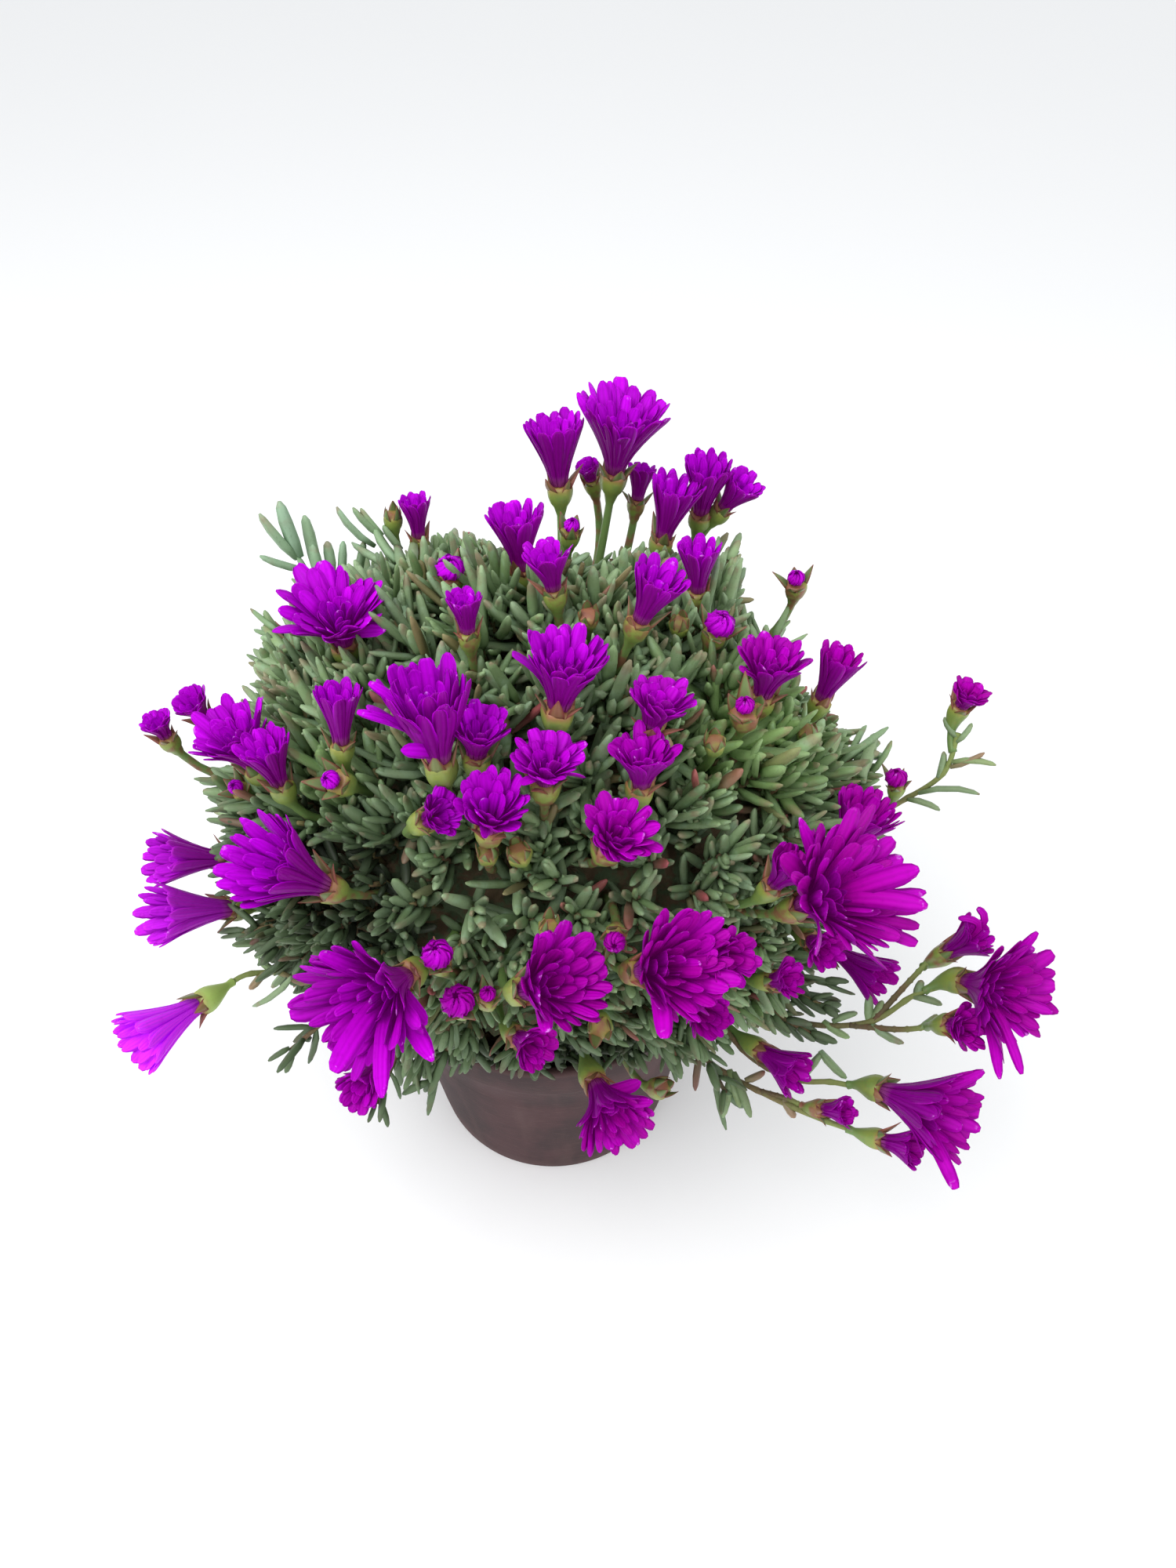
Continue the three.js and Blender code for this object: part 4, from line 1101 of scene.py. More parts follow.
@dataclass(frozen=True)
class PotFinish:
    """Matt mauve-brown plastic with dust, faint scuffs and a paler worn rim."""

    plastic: Colour = srgb(73, 46, 48)
    dusk: Colour = srgb(50, 40, 41)
    dust: Colour = srgb(98, 73, 70)
    worn: Colour = srgb(93, 67, 65)
    roughness: float = 0.55

    def made(self) -> bpy.types.Material:
        """Makes the material.

        Returns:
            The material.
        """
        bench = Bench("moulded_pot")
        clouds, grain = bench.noise(26, 5), bench.noise(0.6, 2)
        runs = bench.noise(14, 4, (1, 1, 0.16))
        scuffs = bench.noise(3, 6, (0.35, 0.35, 3.2))
        colour = bench.mix(
            self.plastic,
            (self.dusk, clouds.ease(0.38, 0.66) * 0.7),
            (self.dust, runs.ease(0.5, 0.72) * 0.32),
            (self.worn, scuffs.ease(0.58, 0.68) * 0.4),
            (self.worn, bench.marks("wear")[0] * 0.6),
            (self.dust, grain.ease(0.6, 0.75) * 0.2),
        )
        rough = self.roughness + clouds * 0.2
        return bench.finish(colour, rough, 0.25, grain * 0.4 + scuffs * 0.6, 0.12)


@dataclass(frozen=True)
class SoilFinish:
    """Crumbly dark potting mix with pale chips of bark."""

    dark: Colour = srgb(38, 28, 22)
    brown: Colour = srgb(78, 58, 42)
    chip: Colour = srgb(138, 112, 84)
    roughness: float = 0.95

    def made(self) -> bpy.types.Material:
        """Makes the material.

        Returns:
            The material.
        """
        bench = Bench("potting_crumb")
        crumbs, lumps = bench.noise(2.2, 6), bench.noise(9, 4)
        chips = lumps.ease(0.62, 0.7) * crumbs.ease(0.5, 0.6)
        colour = bench.mix(self.dark, (self.brown, crumbs.ease(0.4, 0.62)), (self.chip, chips))
        return bench.finish(colour, self.roughness, 0.15, crumbs, 1.0)


@dataclass(frozen=True)
class FloorFinish:
    """The plain pale studio floor, which glows a little."""

    pale: Colour = srgb(244, 244, 244)
    cool: Colour = (0.86, 0.86, 0.87, 1.0)
    roughness: float = 0.9
    glow: float = 0.1

    def made(self) -> bpy.types.Material:
        """Makes the material.

        Returns:
            The material.
        """
        bench = Bench("studio_floor")
        colour = bench.mix(self.pale, (self.cool, bench.noise(400, 2) * 0.2))
        return bench.finish(colour, self.roughness, strength=self.glow)


def round_frames(centres: Array) -> tuple[Array, Array]:
    """Directions across lines that don't twist along them.

    Args:
        centres: Line points, as bodies by rings by 3.

    Returns:
        The side and up directions, like centres.
    """
    headings = unit(np.gradient(centres, axis=1))
    sides = np.zeros_like(centres)
    aside = np.cross(headings[:, 0], np.array([0.31, 0.87, 0.38]))
    for i in range(centres.shape[1]):
        aside = unit(aside - headings[:, i] * (aside * headings[:, i]).sum(-1, keepdims=True))
        sides[:, i] = aside
    return sides, np.cross(headings, sides)


def round_section(radii: Array, corners: int, lobes: Optional[Array] = None) -> Array:
    """A round section with five soft lobes where it asks for them.

    Args:
        radii: Radii, as bodies by rings.
        corners: How many corners.
        lobes: How deep the lobes are, like radii.

    Returns:
        The section, as bodies by rings by corners by 2.
    """
    turns = np.arange(corners) / corners * TURN
    reach = radii[..., None] * np.ones(corners)
    if lobes is not None:
        reach = reach * (1 + lobes[..., None] * np.cos(5 * turns))
    return np.stack([reach * np.cos(turns), reach * np.sin(turns)], axis=-1)


@dataclass
class Sheaf:
    """Closed bodies gathered into one mesh, with values on their points."""

    points: list[Array] = field(default_factory=list)
    faces: list[list[int]] = field(default_factory=list)
    marks: dict[str, list[Array]] = field(default_factory=dict)
    count: int = 0

    def loft(self, centres: Array, sides: Array, ups: Array, section: Array, **marks: Number) -> None:
        """Adds bodies that are lofted along lines, closed at both ends.

        Args:
            centres: Line points, as bodies by rings by 3.
            sides: The section's x direction, like centres.
            ups: The section's y direction, like centres.
            section: The section's points, as bodies by rings by corners by 2.
            **marks: Values for the points, which fit bodies by rings by corners.
        """
        shape = section.shape[:3]
        across = section[..., 0:1] * sides[:, :, None, :]
        points = centres[:, :, None, :] + across + section[..., 1:2] * ups[:, :, None, :]
        headings = centres[:, 1] - centres[:, 0]
        grid = self.count + np.arange(math.prod(shape)).reshape(shape)
        after = np.roll(grid, -1, axis=2)
        quads = np.stack([grid[:, :-1], after[:, :-1], after[:, 1:], grid[:, 1:]], axis=-1).reshape(-1, 4)
        ends = np.concatenate([grid[:, 0, ::-1], grid[:, -1]])
        if (np.cross(sides[:, 0], ups[:, 0]) * headings).sum() < 0:
            quads, ends = quads[:, ::-1], ends[:, ::-1]
        self.faces += quads.tolist() + ends.tolist()
        for name, value in marks.items():
            known = self.marks.setdefault(name, [])
            missing = self.count - sum(len(part) for part in known)
            known += [np.zeros(missing), np.broadcast_to(value, shape).reshape(-1).astype(float)]
        self.points.append(points.reshape(-1, 3))
        self.count += grid.size

    def rods(
        self, lines: Array, radii: Array, corners: int, lobes: Optional[Array] = None, **marks: Number
    ) -> None:
        """Adds round bodies along lines.

        Args:
            lines: Line points, as bodies by rings by 3.
            radii: Radii, as bodies by rings.
            corners: How many corners the section has.
            lobes: How deep its lobes are, like radii.
            **marks: Values for the points.
        """
        self.loft(lines, *round_frames(lines), round_section(radii, corners, lobes), **marks)

    def columns(self, centres: Array, radii: Array, corners: int, **marks: Number) -> None:
        """Adds upright round bodies with level rings.

        Args:
            centres: Ring centres, as bodies by rings by 3.
            radii: Radii, as bodies by rings.
            corners: How many corners a ring has.
            **marks: Values for the points.
        """
        sides, ups = (np.broadcast_to(way, centres.shape) for way in (EAST, NORTH))
        self.loft(centres, sides, ups, round_section(radii, corners), **marks)

    def build(self, name: str, finish: bpy.types.Material) -> bpy.types.Object:
        """Makes the object.

        Args:
            name: The piece's name.
            finish: Its material.

        Returns:
            The object, in metres.
        """
        mesh = bpy.data.meshes.new(name)
        mesh.from_pydata((np.vstack(self.points) * MM).tolist(), [], self.faces)
        for mark, parts in self.marks.items():
            values = np.concatenate([*parts, np.zeros(self.count)])[: self.count]
            layer = mesh.attributes.new(mark, "FLOAT", "POINT")
            layer.data.foreach_set("value", values.astype(np.float32))
        mesh.shade_smooth()
        mesh.materials.append(finish)
        mesh.update()
        made = bpy.data.objects.new(name, mesh)
        bpy.context.scene.collection.objects.link(made)
        LOG.info("%s: %d points", name, self.count)
        return made


@dataclass(frozen=True)
class Blades:
    """Finger-shaped leaves or sepals that curve towards the way they grow on."""

    rings: tuple[float, ...] = (0, 0.3, 0.66, 0.9, 1)
    widths: tuple[float, ...] = (0.66, 1, 0.97, 0.72, 0.26)
    outline: tuple[Pixel, ...] = ((1, 0.3), (0, 0.6), (-1, 0.3), (-0.62, -0.7), (0.62, -0.7))

    def add(
        self,
        sheaf: Sheaf,
        roots: Array,
        starts: Array,
        ons: Array,
        lengths: Array,
        halves: Array,
        curl: Array,
        **marks: Array,
    ) -> None:
        """Adds blades.

        Args:
            sheaf: What they are added to.
            roots: Where they stand.
            starts: The way that they leave.
            ons: The way that they bend to.
            lengths: Their lengths.
            halves: Half their widths.
            curl: How far they bend.
            **marks: A value for each blade, by name.
        """
        share = np.array(self.rings)[None, :, None]
        bend = curl[:, None, None]
        path = starts[:, None] * share + ons[:, None] * bend * share**2 / 2
        centres = roots[:, None] + path * lengths[:, None, None]
        headings = unit(starts[:, None] + ons[:, None] * bend * share)
        sides = np.broadcast_to(unit(np.cross(ons, starts))[:, None], centres.shape)
        scale = halves[:, None, None, None] * np.array(self.widths)[None, :, None, None]
        corners = np.array(self.outline)[None, None]
        spread = {name: value[:, None, None] for name, value in marks.items()}
        spread |= {"along": share, "across": corners[..., 0], "over": corners[..., 1]}
        sheaf.loft(centres, sides, np.cross(headings, sides), scale * corners, **spread)


def placed(made: bpy.types.Object, slot: str, *nodes: str) -> bpy.types.Object:
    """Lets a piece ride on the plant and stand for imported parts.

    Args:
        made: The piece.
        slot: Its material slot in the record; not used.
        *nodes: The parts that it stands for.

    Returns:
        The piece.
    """
    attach(made, "root")
    if nodes:
        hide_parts(*nodes)
    return made


@dataclass
class Pot:
    """A tapered pot with a band under a rounded rim and drain holes."""

    height: float = 107
    top_radius: float = 70
    base_radius: float = 54
    wall: float = 2.2
    floor: float = 3
    band_height: float = 17
    band_step: float = 2.4
    sides: int = 120
    drain_count: int = 5
    drain_radius: float = 4
    drain_ring: float = 38
    drill_reach: tuple[float, float] = (-5.0, 9.0)
    drill_sides: int = 24

    def profile(self) -> list[Spot]:
        """Works out the rings of the outline.

        Returns:
            The radius, height and wear of each, from the middle of the underside
            round to the middle of the floor inside.
        """
        lean = (self.top_radius - self.band_step - self.base_radius) / self.height
        under = self.height - self.band_height
        inside = self.base_radius + lean * under - self.wall
        top, base = self.top_radius, self.base_radius
        return [
            (0.01, 0.8, 0),
            (base - 7, 0.8, 0),
            (base - 6, 0, 0.4),
            (base - 1.6, 0, 0.6),
            (base - 0.4, 0.5, 1),
            (base, 1.6, 0.7),
            *((base + lean * level, level, 0) for level in (10, 40, 70, under - 1)),
            (base + lean * under + 0.5, under - 0.2, 0),
            (top - 1.3, under + 0.3, 0.5),
            (top - 0.9, under + 1.2, 0.3),
            (top - 0.3, self.height - 4, 0),
            (top - 0.05, self.height - 1.6, 0.8),
            (top - 0.5, self.height - 0.4, 1),
            (top - 1.4, self.height, 1),
            (top - self.wall - 1, self.height - 0.1, 1),
            (top - self.wall - 1.8, self.height - 0.9, 0.6),
            (inside + 0.6, under + 3, 0),
            (inside, under, 0),
            (base + lean * 8 - self.wall, 8, 0),
            (base + lean * 4 - self.wall - 1.6, 3.6, 0),
            (base - self.wall - 4, self.floor, 0),
            (0.01, self.floor, 0),
        ]

    def build(self) -> bpy.types.Object:
        """Makes the pot in its place.

        Returns:
            The piece.
        """
        rows = np.array(self.profile())
        sheaf = Sheaf()
        sheaf.columns(stacked(rows[:, 1]), rows[None, :, 0], self.sides, wear=rows[None, :, 2, None])
        made = sheaf.build("round_pot", PotFinish().made())
        self._drill(made)
        return placed(made, "pot_plastic", "pot")

    def _drill(self, pot: bpy.types.Object) -> None:
        """Cuts the drain holes.

        Args:
            pot: The pot without holes.
        """
        drills = Sheaf()
        feet = spokes(np.arange(self.drain_count) / self.drain_count * TURN) * self.drain_ring
        radii = np.full((self.drain_count, 2), self.drain_radius)
        drills.columns(feet[:, None] + stacked(self.drill_reach), radii, self.drill_sides, wear=0.0)
        cutter = drills.build("drain_cutter", pot.data.materials[0])
        cut = pot.modifiers.new("drains", "BOOLEAN")
        cut.operation = "DIFFERENCE"
        cut.object = cutter
        bpy.context.view_layer.update()
        graph = bpy.context.evaluated_depsgraph_get()
        drilled = bpy.data.meshes.new_from_object(pot.evaluated_get(graph))
        pot.modifiers.clear()
        pot.data = drilled
        bpy.data.objects.remove(cutter)


@dataclass
class PottingMix:
    """The mix in the pot: a crumbly crowned top on a plug that fills the pot."""

    top: float = 93
    crown: float = 3
    foot_radius: float = 50
    foot: float = 3.5
    clearance: float = 0.3
    spokes: int = 120
    lump: float = 0.45

    def build(self, rng: Rng) -> bpy.types.Object:
        """Makes the mix in its place.

        Args:
            rng: The source of its lumps.

        Returns:
            The piece.
        """
        low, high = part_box("potting_mix")
        radius = (high.x - low.x) / 2 / MM - self.clearance
        plug = [(0.01, self.foot), (self.foot_radius, self.foot)]
        plug += [(radius, self.top - 4), (radius, self.top - 1)]
        shares = np.linspace(0.97, 0.02, 30)
        rows = np.array([*plug, *((radius * s, self.top + self.crown * (1 - s**2)) for s in shares)])
        sheaf = Sheaf()
        sheaf.columns(stacked(rows[:, 1]), rows[None, :, 0], self.spokes)
        lumps = rng.normal(0, self.lump, (len(rows), self.spokes))
        lumps[: len(plug)] = 0
        sheaf.points[0][:, 2] += np.clip(lumps, -1, 1).reshape(-1)
        return placed(sheaf.build("crumbly_mix", SoilFinish().made()), "potting_mix", "potting_mix")


@dataclass
class Whorl:
    """One ring of petals: its share of the flower's width and length, its share
    of the outer ring's number, and how far its tips bend out."""

    wide: float
    long: float
    number: float
    flare: float


@dataclass
class Petals:
    """The petals of the flowers, in rings from the outside in. Each has six
    corners across, whose place and side are in across and sides."""

    rng: Rng
    calyx_top: float = 4.3
    gap: float = 0.35
    spacing: float = 5.0
    spacing_growth: float = 0.07
    fewest: int = 9
    widest: float = 2.05
    widest_growth: float = 0.04
    thick: float = 0.42
    full_from: float = 11
    folded_share: float = 0.76
    folds: tuple[tuple[int, float], ...] = ((8, 1.0), (6, 0.6))
    rings: tuple[float, ...] = (0, 0.15, 0.33, 0.5, 0.66, 0.8, 0.9, 0.965, 1)
    across: tuple[float, ...] = (1.0, 0.4, -0.4, -1, -0.4, 0.4)
    sides: tuple[float, ...] = (0.0, 1, 1, 0, -1, -1)
    whorls: tuple[Whorl, ...] = (
        Whorl(1.0, 1.0, 1.0, 0.05),
        Whorl(0.9, 0.97, 0.9, 0.02),
        Whorl(0.66, 0.9, 0.62, 0.0),
        Whorl(0.38, 0.78, 0.5, -0.05),
        Whorl(0.17, 0.68, 0.34, -0.1),
    )

    def add(self, sheaf: Sheaf, flower: Flower) -> None:
        """Adds a flower's petals.

        Args:
            sheaf: What they are added to.
            flower: The flower.
        """
        spacing = self.spacing + self.spacing_growth * flower.wide
        outer = max(round(TURN * flower.wide / spacing), self.fewest)
        for whorl in self.whorls if flower.wide > self.full_from else self.whorls[:-1]:
            self._add_whorl(sheaf, flower, whorl, max(4, round(outer * whorl.number)))

    def _add_whorl(self, sheaf: Sheaf, flower: Flower, whorl: Whorl, count: int) -> None:
        """Adds one ring of petals.

        Args:
            sheaf: What they are added to.
            flower: The flower.
            whorl: The ring.
            count: How many petals it has.
        """
        rng, stand, spread = self.rng, flower.standing(), flower.spread
        throat = (self.calyx_top * flower.size * 0.8 - 0.6) * lerp(0.5, 1, whorl.wide)
        wide = max(flower.wide * whorl.wide, throat * 1.1)
        long = flower.long * lerp(whorl.long, 1, 0.55 * spread)
        body = flower.wide * lerp(0.54, 0.44, spread) * whorl.wide
        power = math.log(max(body - throat, 0.2) / max(wide - throat, 0.4)) / math.log(0.5)
        power = min(max(power, 1.0), 2.2)
        share = np.array(self.rings)[None, :]
        is_outer = whorl.wide > 0.8
        ragged = lerp(0.06, 0.22, spread) * lerp(1.7, 1, whorl.wide) + flower.gathered * is_outer
        reach = rng.uniform(1 - ragged, 1.01, (count, 1))
        is_loose = rng.uniform(0, 1, (count, 1)) < 0.22 * spread * is_outer
        loose = is_loose * rng.uniform(0.2, 1, (count, 1))
        drawn = (spread * rng.uniform(0, 0.2, (count, 1)) + flower.gathered) * (1 - is_loose)
        uneven = lerp(0.12, 0.045, whorl.wide)
        lean = 1 + rng.normal(0, uneven, (count, 1)) * share + (whorl.flare + loose * 0.24 - drawn) * share**2
        radius = throat + (wide - throat) * share**power * reach * lean
        droop = 0.05 * spread * share**4 + loose * 0.2 * share**2
        height = self.gap + (long - self.gap) * reach * (share - droop)
        turns = (np.arange(count)[:, None] + rng.uniform(0, 1)) / count * 2 * math.pi
        turns = turns + np.sin(turns * 4 + rng.uniform(0, 6)) * 0.9 / count * spread
        turns = turns + rng.normal(0, 0.5 / count, (count, 1)) + rng.normal(0, 0.06, (count, 1)) * share**2
        outward, tangent = stand.ring(turns)
        centres = stand.seat + outward * radius[..., None] + stand.facing * height[..., None]
        headings = unit(np.gradient(centres, axis=1))
        twist = 0.12 + 0.2 * spread + 0.25 * (1 - whorl.wide)
        roll = (0.16 + rng.normal(0, twist, (count, 1)))[..., None] * share[..., None]
        sides = unit(tangent * np.cos(roll) + np.cross(tangent, headings) * np.sin(roll))
        ups = unit(np.cross(headings, sides))
        inward = np.sign(-(ups * outward).sum(-1))[:, 1:2, None]
        sheaf.loft(
            centres,
            sides,
            ups,
            self._section(wide, count, flower),
            along=share[..., None],
            across=np.array(self.across),
            face=inward * np.array(self.sides),
            tone=rng.uniform(0, 1, (count, 1, 1)),
            pale=flower.pale,
            warm=flower.warmth,
        )

    def add_stray(self, sheaf: Sheaf, stray: StrayPetal) -> None:
        """Adds a petal that strays from its flower and turns its face to the eye.

        Args:
            sheaf: What it is added to.
            stray: The petal.
        """
        flower = next(one for one in FLOWERS if one.node == stray.node)
        stand = flower.standing()
        tip = EYE.abreast(stray.tip, stand.seat + stand.facing * flower.long, stray.ahead)
        rings = np.array(self.rings)
        line = bent(stand.seat, stand.seat + stand.facing * flower.long * stray.leave, tip, rings)
        headings = unit(np.gradient(line, axis=0))
        toward = EYE.place - line
        ups = unit(toward - headings * (toward * headings).sum(-1, keepdims=True))
        section = self._section(flower.wide, 1, flower)
        section[..., 0] *= stray.half / np.abs(section[..., 0]).max()
        sheaf.loft(
            line[None],
            np.cross(ups, headings)[None],
            ups[None],
            section,
            along=rings[None, :, None],
            across=np.array(self.across),
            face=np.array(self.sides),
            tone=self.rng.uniform(0.75, 1),
            pale=flower.pale,
            warm=flower.warmth,
        )

    def add_folded(self, sheaf: Sheaf, bud: Bud) -> None:
        """Adds the folded petals of a bud.

        Args:
            sheaf: What they are added to.
            bud: The bud.
        """
        rings = np.array(self.rings)[None, :]
        opening = bud.opening * self.folded_share
        stand = bud.standing()
        for count, share in self.folds:
            turns = (np.arange(count)[:, None] + self.rng.uniform(0, 1)) / count * 2 * math.pi + rings * 1.1
            radius = 0.4 + opening * share * np.sin(rings * math.pi * 0.97) ** 0.7
            height = (opening * 1.6 + 2.2) * rings * self.rng.uniform(0.86, 1.0, (count, 1))
            outward, tangent = stand.ring(turns)
            centres = stand.seat + outward * radius[..., None] + stand.facing * height[..., None]
            headings = unit(np.gradient(centres, axis=1))
            sides = unit(tangent - headings * (tangent * headings).sum(-1, keepdims=True))
            half = np.clip(opening * 0.85 * np.sin(rings * math.pi * 0.82 + 0.5), 0.15, 3.4)
            diamond = np.array([[1.0, 0], [0, 0.3], [-1, 0], [0, -0.3]])
            section = np.ones((count, 1, 1, 1)) * diamond
            section = section * np.stack([half, half * 0 + 1], -1)[:, :, None]
            sheaf.loft(
                centres,
                sides,
                np.cross(headings, sides),
                section,
                along=0.5 + rings[..., None] * 0.5,
                across=diamond[:, 0],
                face=1.0,
                tone=self.rng.uniform(0.3, 1, (count, 1, 1)),
                pale=0.0,
                warm=bud.warmth,
            )

    def _section(self, wide: float, count: int, flower: Flower) -> Array:
        """The petals' thin channelled sections.

        Args:
            wide: The radius of the ring's mouth.
            count: How many petals the ring has.
            flower: The flower.

        Returns:
            The section, as bodies by rings by corners by 2.
        """
        rng, share = self.rng, np.array(self.rings)
        most = self.widest + self.widest_growth * flower.wide
        widest = min(max(math.pi * wide / count * lerp(1.5, 1.2, flower.spread), 1.3), most)
        swell = 0.32 + 0.68 * smooth(share, 0.0, 0.72)
        blunt = rng.uniform(0.2, 0.75, (count, 1))
        tip = np.clip(1 - (np.clip(share - 0.82, 0, 1) / 0.185) ** 2.4, 0.0, 1)[None, :] ** blunt
        slim = lerp(0.72, 1, min(wide / flower.wide, 1))
        half = widest * slim * swell[None, :] * np.maximum(tip, 0.2) * rng.uniform(0.7, 1.15, (count, 1))
        channel = half * rng.uniform(0.05, 0.35, (count, 1))
        thick = self.thick * (0.5 + 0.5 * tip) / 2
        level = np.array(self.sides)
        rise = thick[..., None] * level - channel[..., None] * np.abs(level)
        return np.stack([half[..., None] * np.array(self.across), rise], axis=-1)


def trailer_lines() -> dict[str, Array]:
    """Works out the trailing stems.

    Returns:
        Their points by name.
    """
    lines: dict[str, Array] = {}
    for stem in TRAILERS:
        places = [MOUND.meet(seen, stem.lift) for seen in stem.seen]
        if stem.parent is None:
            root = MOUND.on_shell(places[0], MOUND.core_share - 0.08)
        else:
            root = evenly(lines[stem.parent], np.array([stem.at]))[0]
        lines[stem.name] = smooth_line(np.array([root, *places]), 40)
    return lines


def trailer_clump(name: str, lines: dict[str, Array]) -> int:
    """The clump that a trailing stem grows from.

    Args:
        name: The stem's name.
        lines: The trailing stems as points.

    Returns:
        The clump's index.
    """
    stem = next(one for one in TRAILERS if one.name == name)
    if stem.parent is not None:
        return trailer_clump(stem.parent, lines)
    return int(MOUND.clump_indices(lines[name][0]))


@dataclass
class FlowerGreens:
    """The stalks, swollen calyces and sepals under the flowers and buds. lines are
    the trailing stems that some of them grow on."""

    rng: Rng
    lines: dict[str, Array]
    length: float = 12
    belly: float = 4.9
    top: float = 4.3
    neck: float = 1.9
    stalk: float = 1.45
    corners: int = 15
    behind: float = 16
    sunk: float = 0.05
    leave: float = 0.93
    bend: float = 0.62
    backs: tuple[float, ...] = (1.15, 1, 0.86, 0.7, 0.54, 0.38, 0.24, 0.12, 0.04, 0)
    tapering: tuple[float, ...] = (0.24, 0.5, 0.76, 0.95, 1, 0.95)
    rounded: tuple[float, ...] = (0.02, 0.24, 0.74, 0.98, 1.04, 1)
    sepal_lengths: tuple[float, ...] = (1.35, 0.85, 1.2, 0.8, 0.95)
    sepals: Blades = Blades(
        rings=(0, 0.18, 0.4, 0.62, 0.82, 0.94, 1),
        widths=(1, 1, 0.82, 0.56, 0.3, 0.16, 0.06),
        outline=((1, 0.0), (0, 0.16), (-1, 0.0), (-0.5, -0.34), (0.5, -0.34)),
    )

    def root_of(self, flower: Flower, stand: Standing) -> tuple[Array, int]:
        """Where a stalk grows from.

        Args:
            flower: The flower or bud.
            stand: Where it sits.

        Returns:
            The place and the index of the clump that it belongs to.
        """
        if flower.on is not None:
            line = self.lines[flower.on]
            return evenly(line, np.array([self.leave]))[0], trailer_clump(flower.on, self.lines)
        behind = stand.seat - stand.facing * self.behind
        toward = behind if MOUND.outness(behind) > MOUND.core_share else stand.seat
        return MOUND.drawn_in(MOUND.on_shell(toward, MOUND.core_share - self.sunk))

    def stalk_line(self, root: Array, stand: Standing, count: int) -> Array:
        """Evenly spaced points of a stalk, which ends the way that its flower faces."""
        bend = stand.seat - stand.facing * np.linalg.norm(root - stand.seat) * self.bend
        return evenly(bent(root, bend, stand.seat, np.linspace(0, 1, 50)), np.linspace(0, 1, count))

    def add(self, sheaves: list[Sheaf], flower: Flower) -> int:
        """Adds the green of a flower or bud.

        Args:
            sheaves: The green of each clump.
            flower: The flower or bud.

        Returns:
            The index of the clump that it belongs to.
        """
        stand = flower.standing()
        root, owner = self.root_of(flower, stand)
        line = self.stalk_line(root, stand, 60)
        length = float(np.linalg.norm(np.diff(line, axis=0), axis=1).sum())
        swell = min(self.length * flower.size, length * 0.75)
        back = np.array(self.backs)
        below = np.linspace(0, 1 - back[0] * swell / length, 7)[:-1]
        shares = np.concatenate([below, 1 - back * swell / length])
        belly, top = self.belly * flower.size * 0.93, self.top * flower.size
        fills = [lerp(slow, quick, flower.cup) for slow, quick in zip(self.tapering, self.rounded)]
        swollen = [self.stalk, lerp(self.neck, self.stalk, flower.cup)]
        swollen += [*(lerp(self.neck, belly, fill) for fill in fills), top, top * 0.66]
        radii = np.concatenate([np.linspace(self.stalk * 1.12, self.stalk, 6), swollen])[None]
        lobes = np.concatenate([np.zeros(7), np.linspace(0.02, 0.11, 9)])[None]
        progress = np.concatenate([np.linspace(0, 0.45, 6), np.linspace(0.5, 1, 10)])
        sheaves[owner].rods(
            evenly(line, np.clip(shares, 0, 1))[None],
            radii,
            self.corners,
            lobes,
            along=progress[None, :, None],
            across=0.0,
            tint=self.rng.uniform(0, 0.45 if isinstance(flower, Bud) else 1),
            sepal=0.0,
            red=float(self.rng.uniform() < 0.35) * (1 - flower.pale),
            pale=flower.pale,
        )
        self._add_sepals(sheaves[owner], flower, stand)
        return owner

    def _add_sepals(self, sheaf: Sheaf, flower: Flower, stand: Standing) -> None:
        """Adds five sepals, two of them longer.

        Args:
            sheaf: What they are added to.
            flower: The flower or bud.
            stand: Where it sits.
        """
        rng, count = self.rng, len(self.sepal_lengths)
        turns = (np.arange(count) / count + rng.uniform()) * 2 * math.pi + rng.normal(0, 0.12, count)
        outward, _ = stand.ring(turns, (0.2, 0.3, 0.93))
        is_bud = isinstance(flower, Bud)
        opening = flower.opening if isinstance(flower, Bud) else 0.0
        splay = 0.25 + opening * 0.13 if is_bud else 0.45 + rng.normal(0, 0.2, (count, 1))
        roots = stand.seat + outward * (self.top * flower.size * 0.86) - stand.facing * 1.4
        lengths = np.array(self.sepal_lengths) * rng.uniform(0.85, 1.1, count)
        bend = np.full(count, -0.6 + opening * 0.14 if is_bud else 0.15) + rng.normal(0, 0.2, count)
        self.sepals.add(
            sheaf,
            roots,
            unit(stand.facing + outward * splay),
            outward,
            lengths * (7.5 if is_bud else 6.6) * flower.size,
            np.full(count, 2.5 * flower.size) * rng.uniform(0.85, 1.1, count),
            bend,
            tint=rng.uniform(0, 0.5 if is_bud else 1, count),
            sepal=np.ones(count),
            red=np.zeros(count),
        )


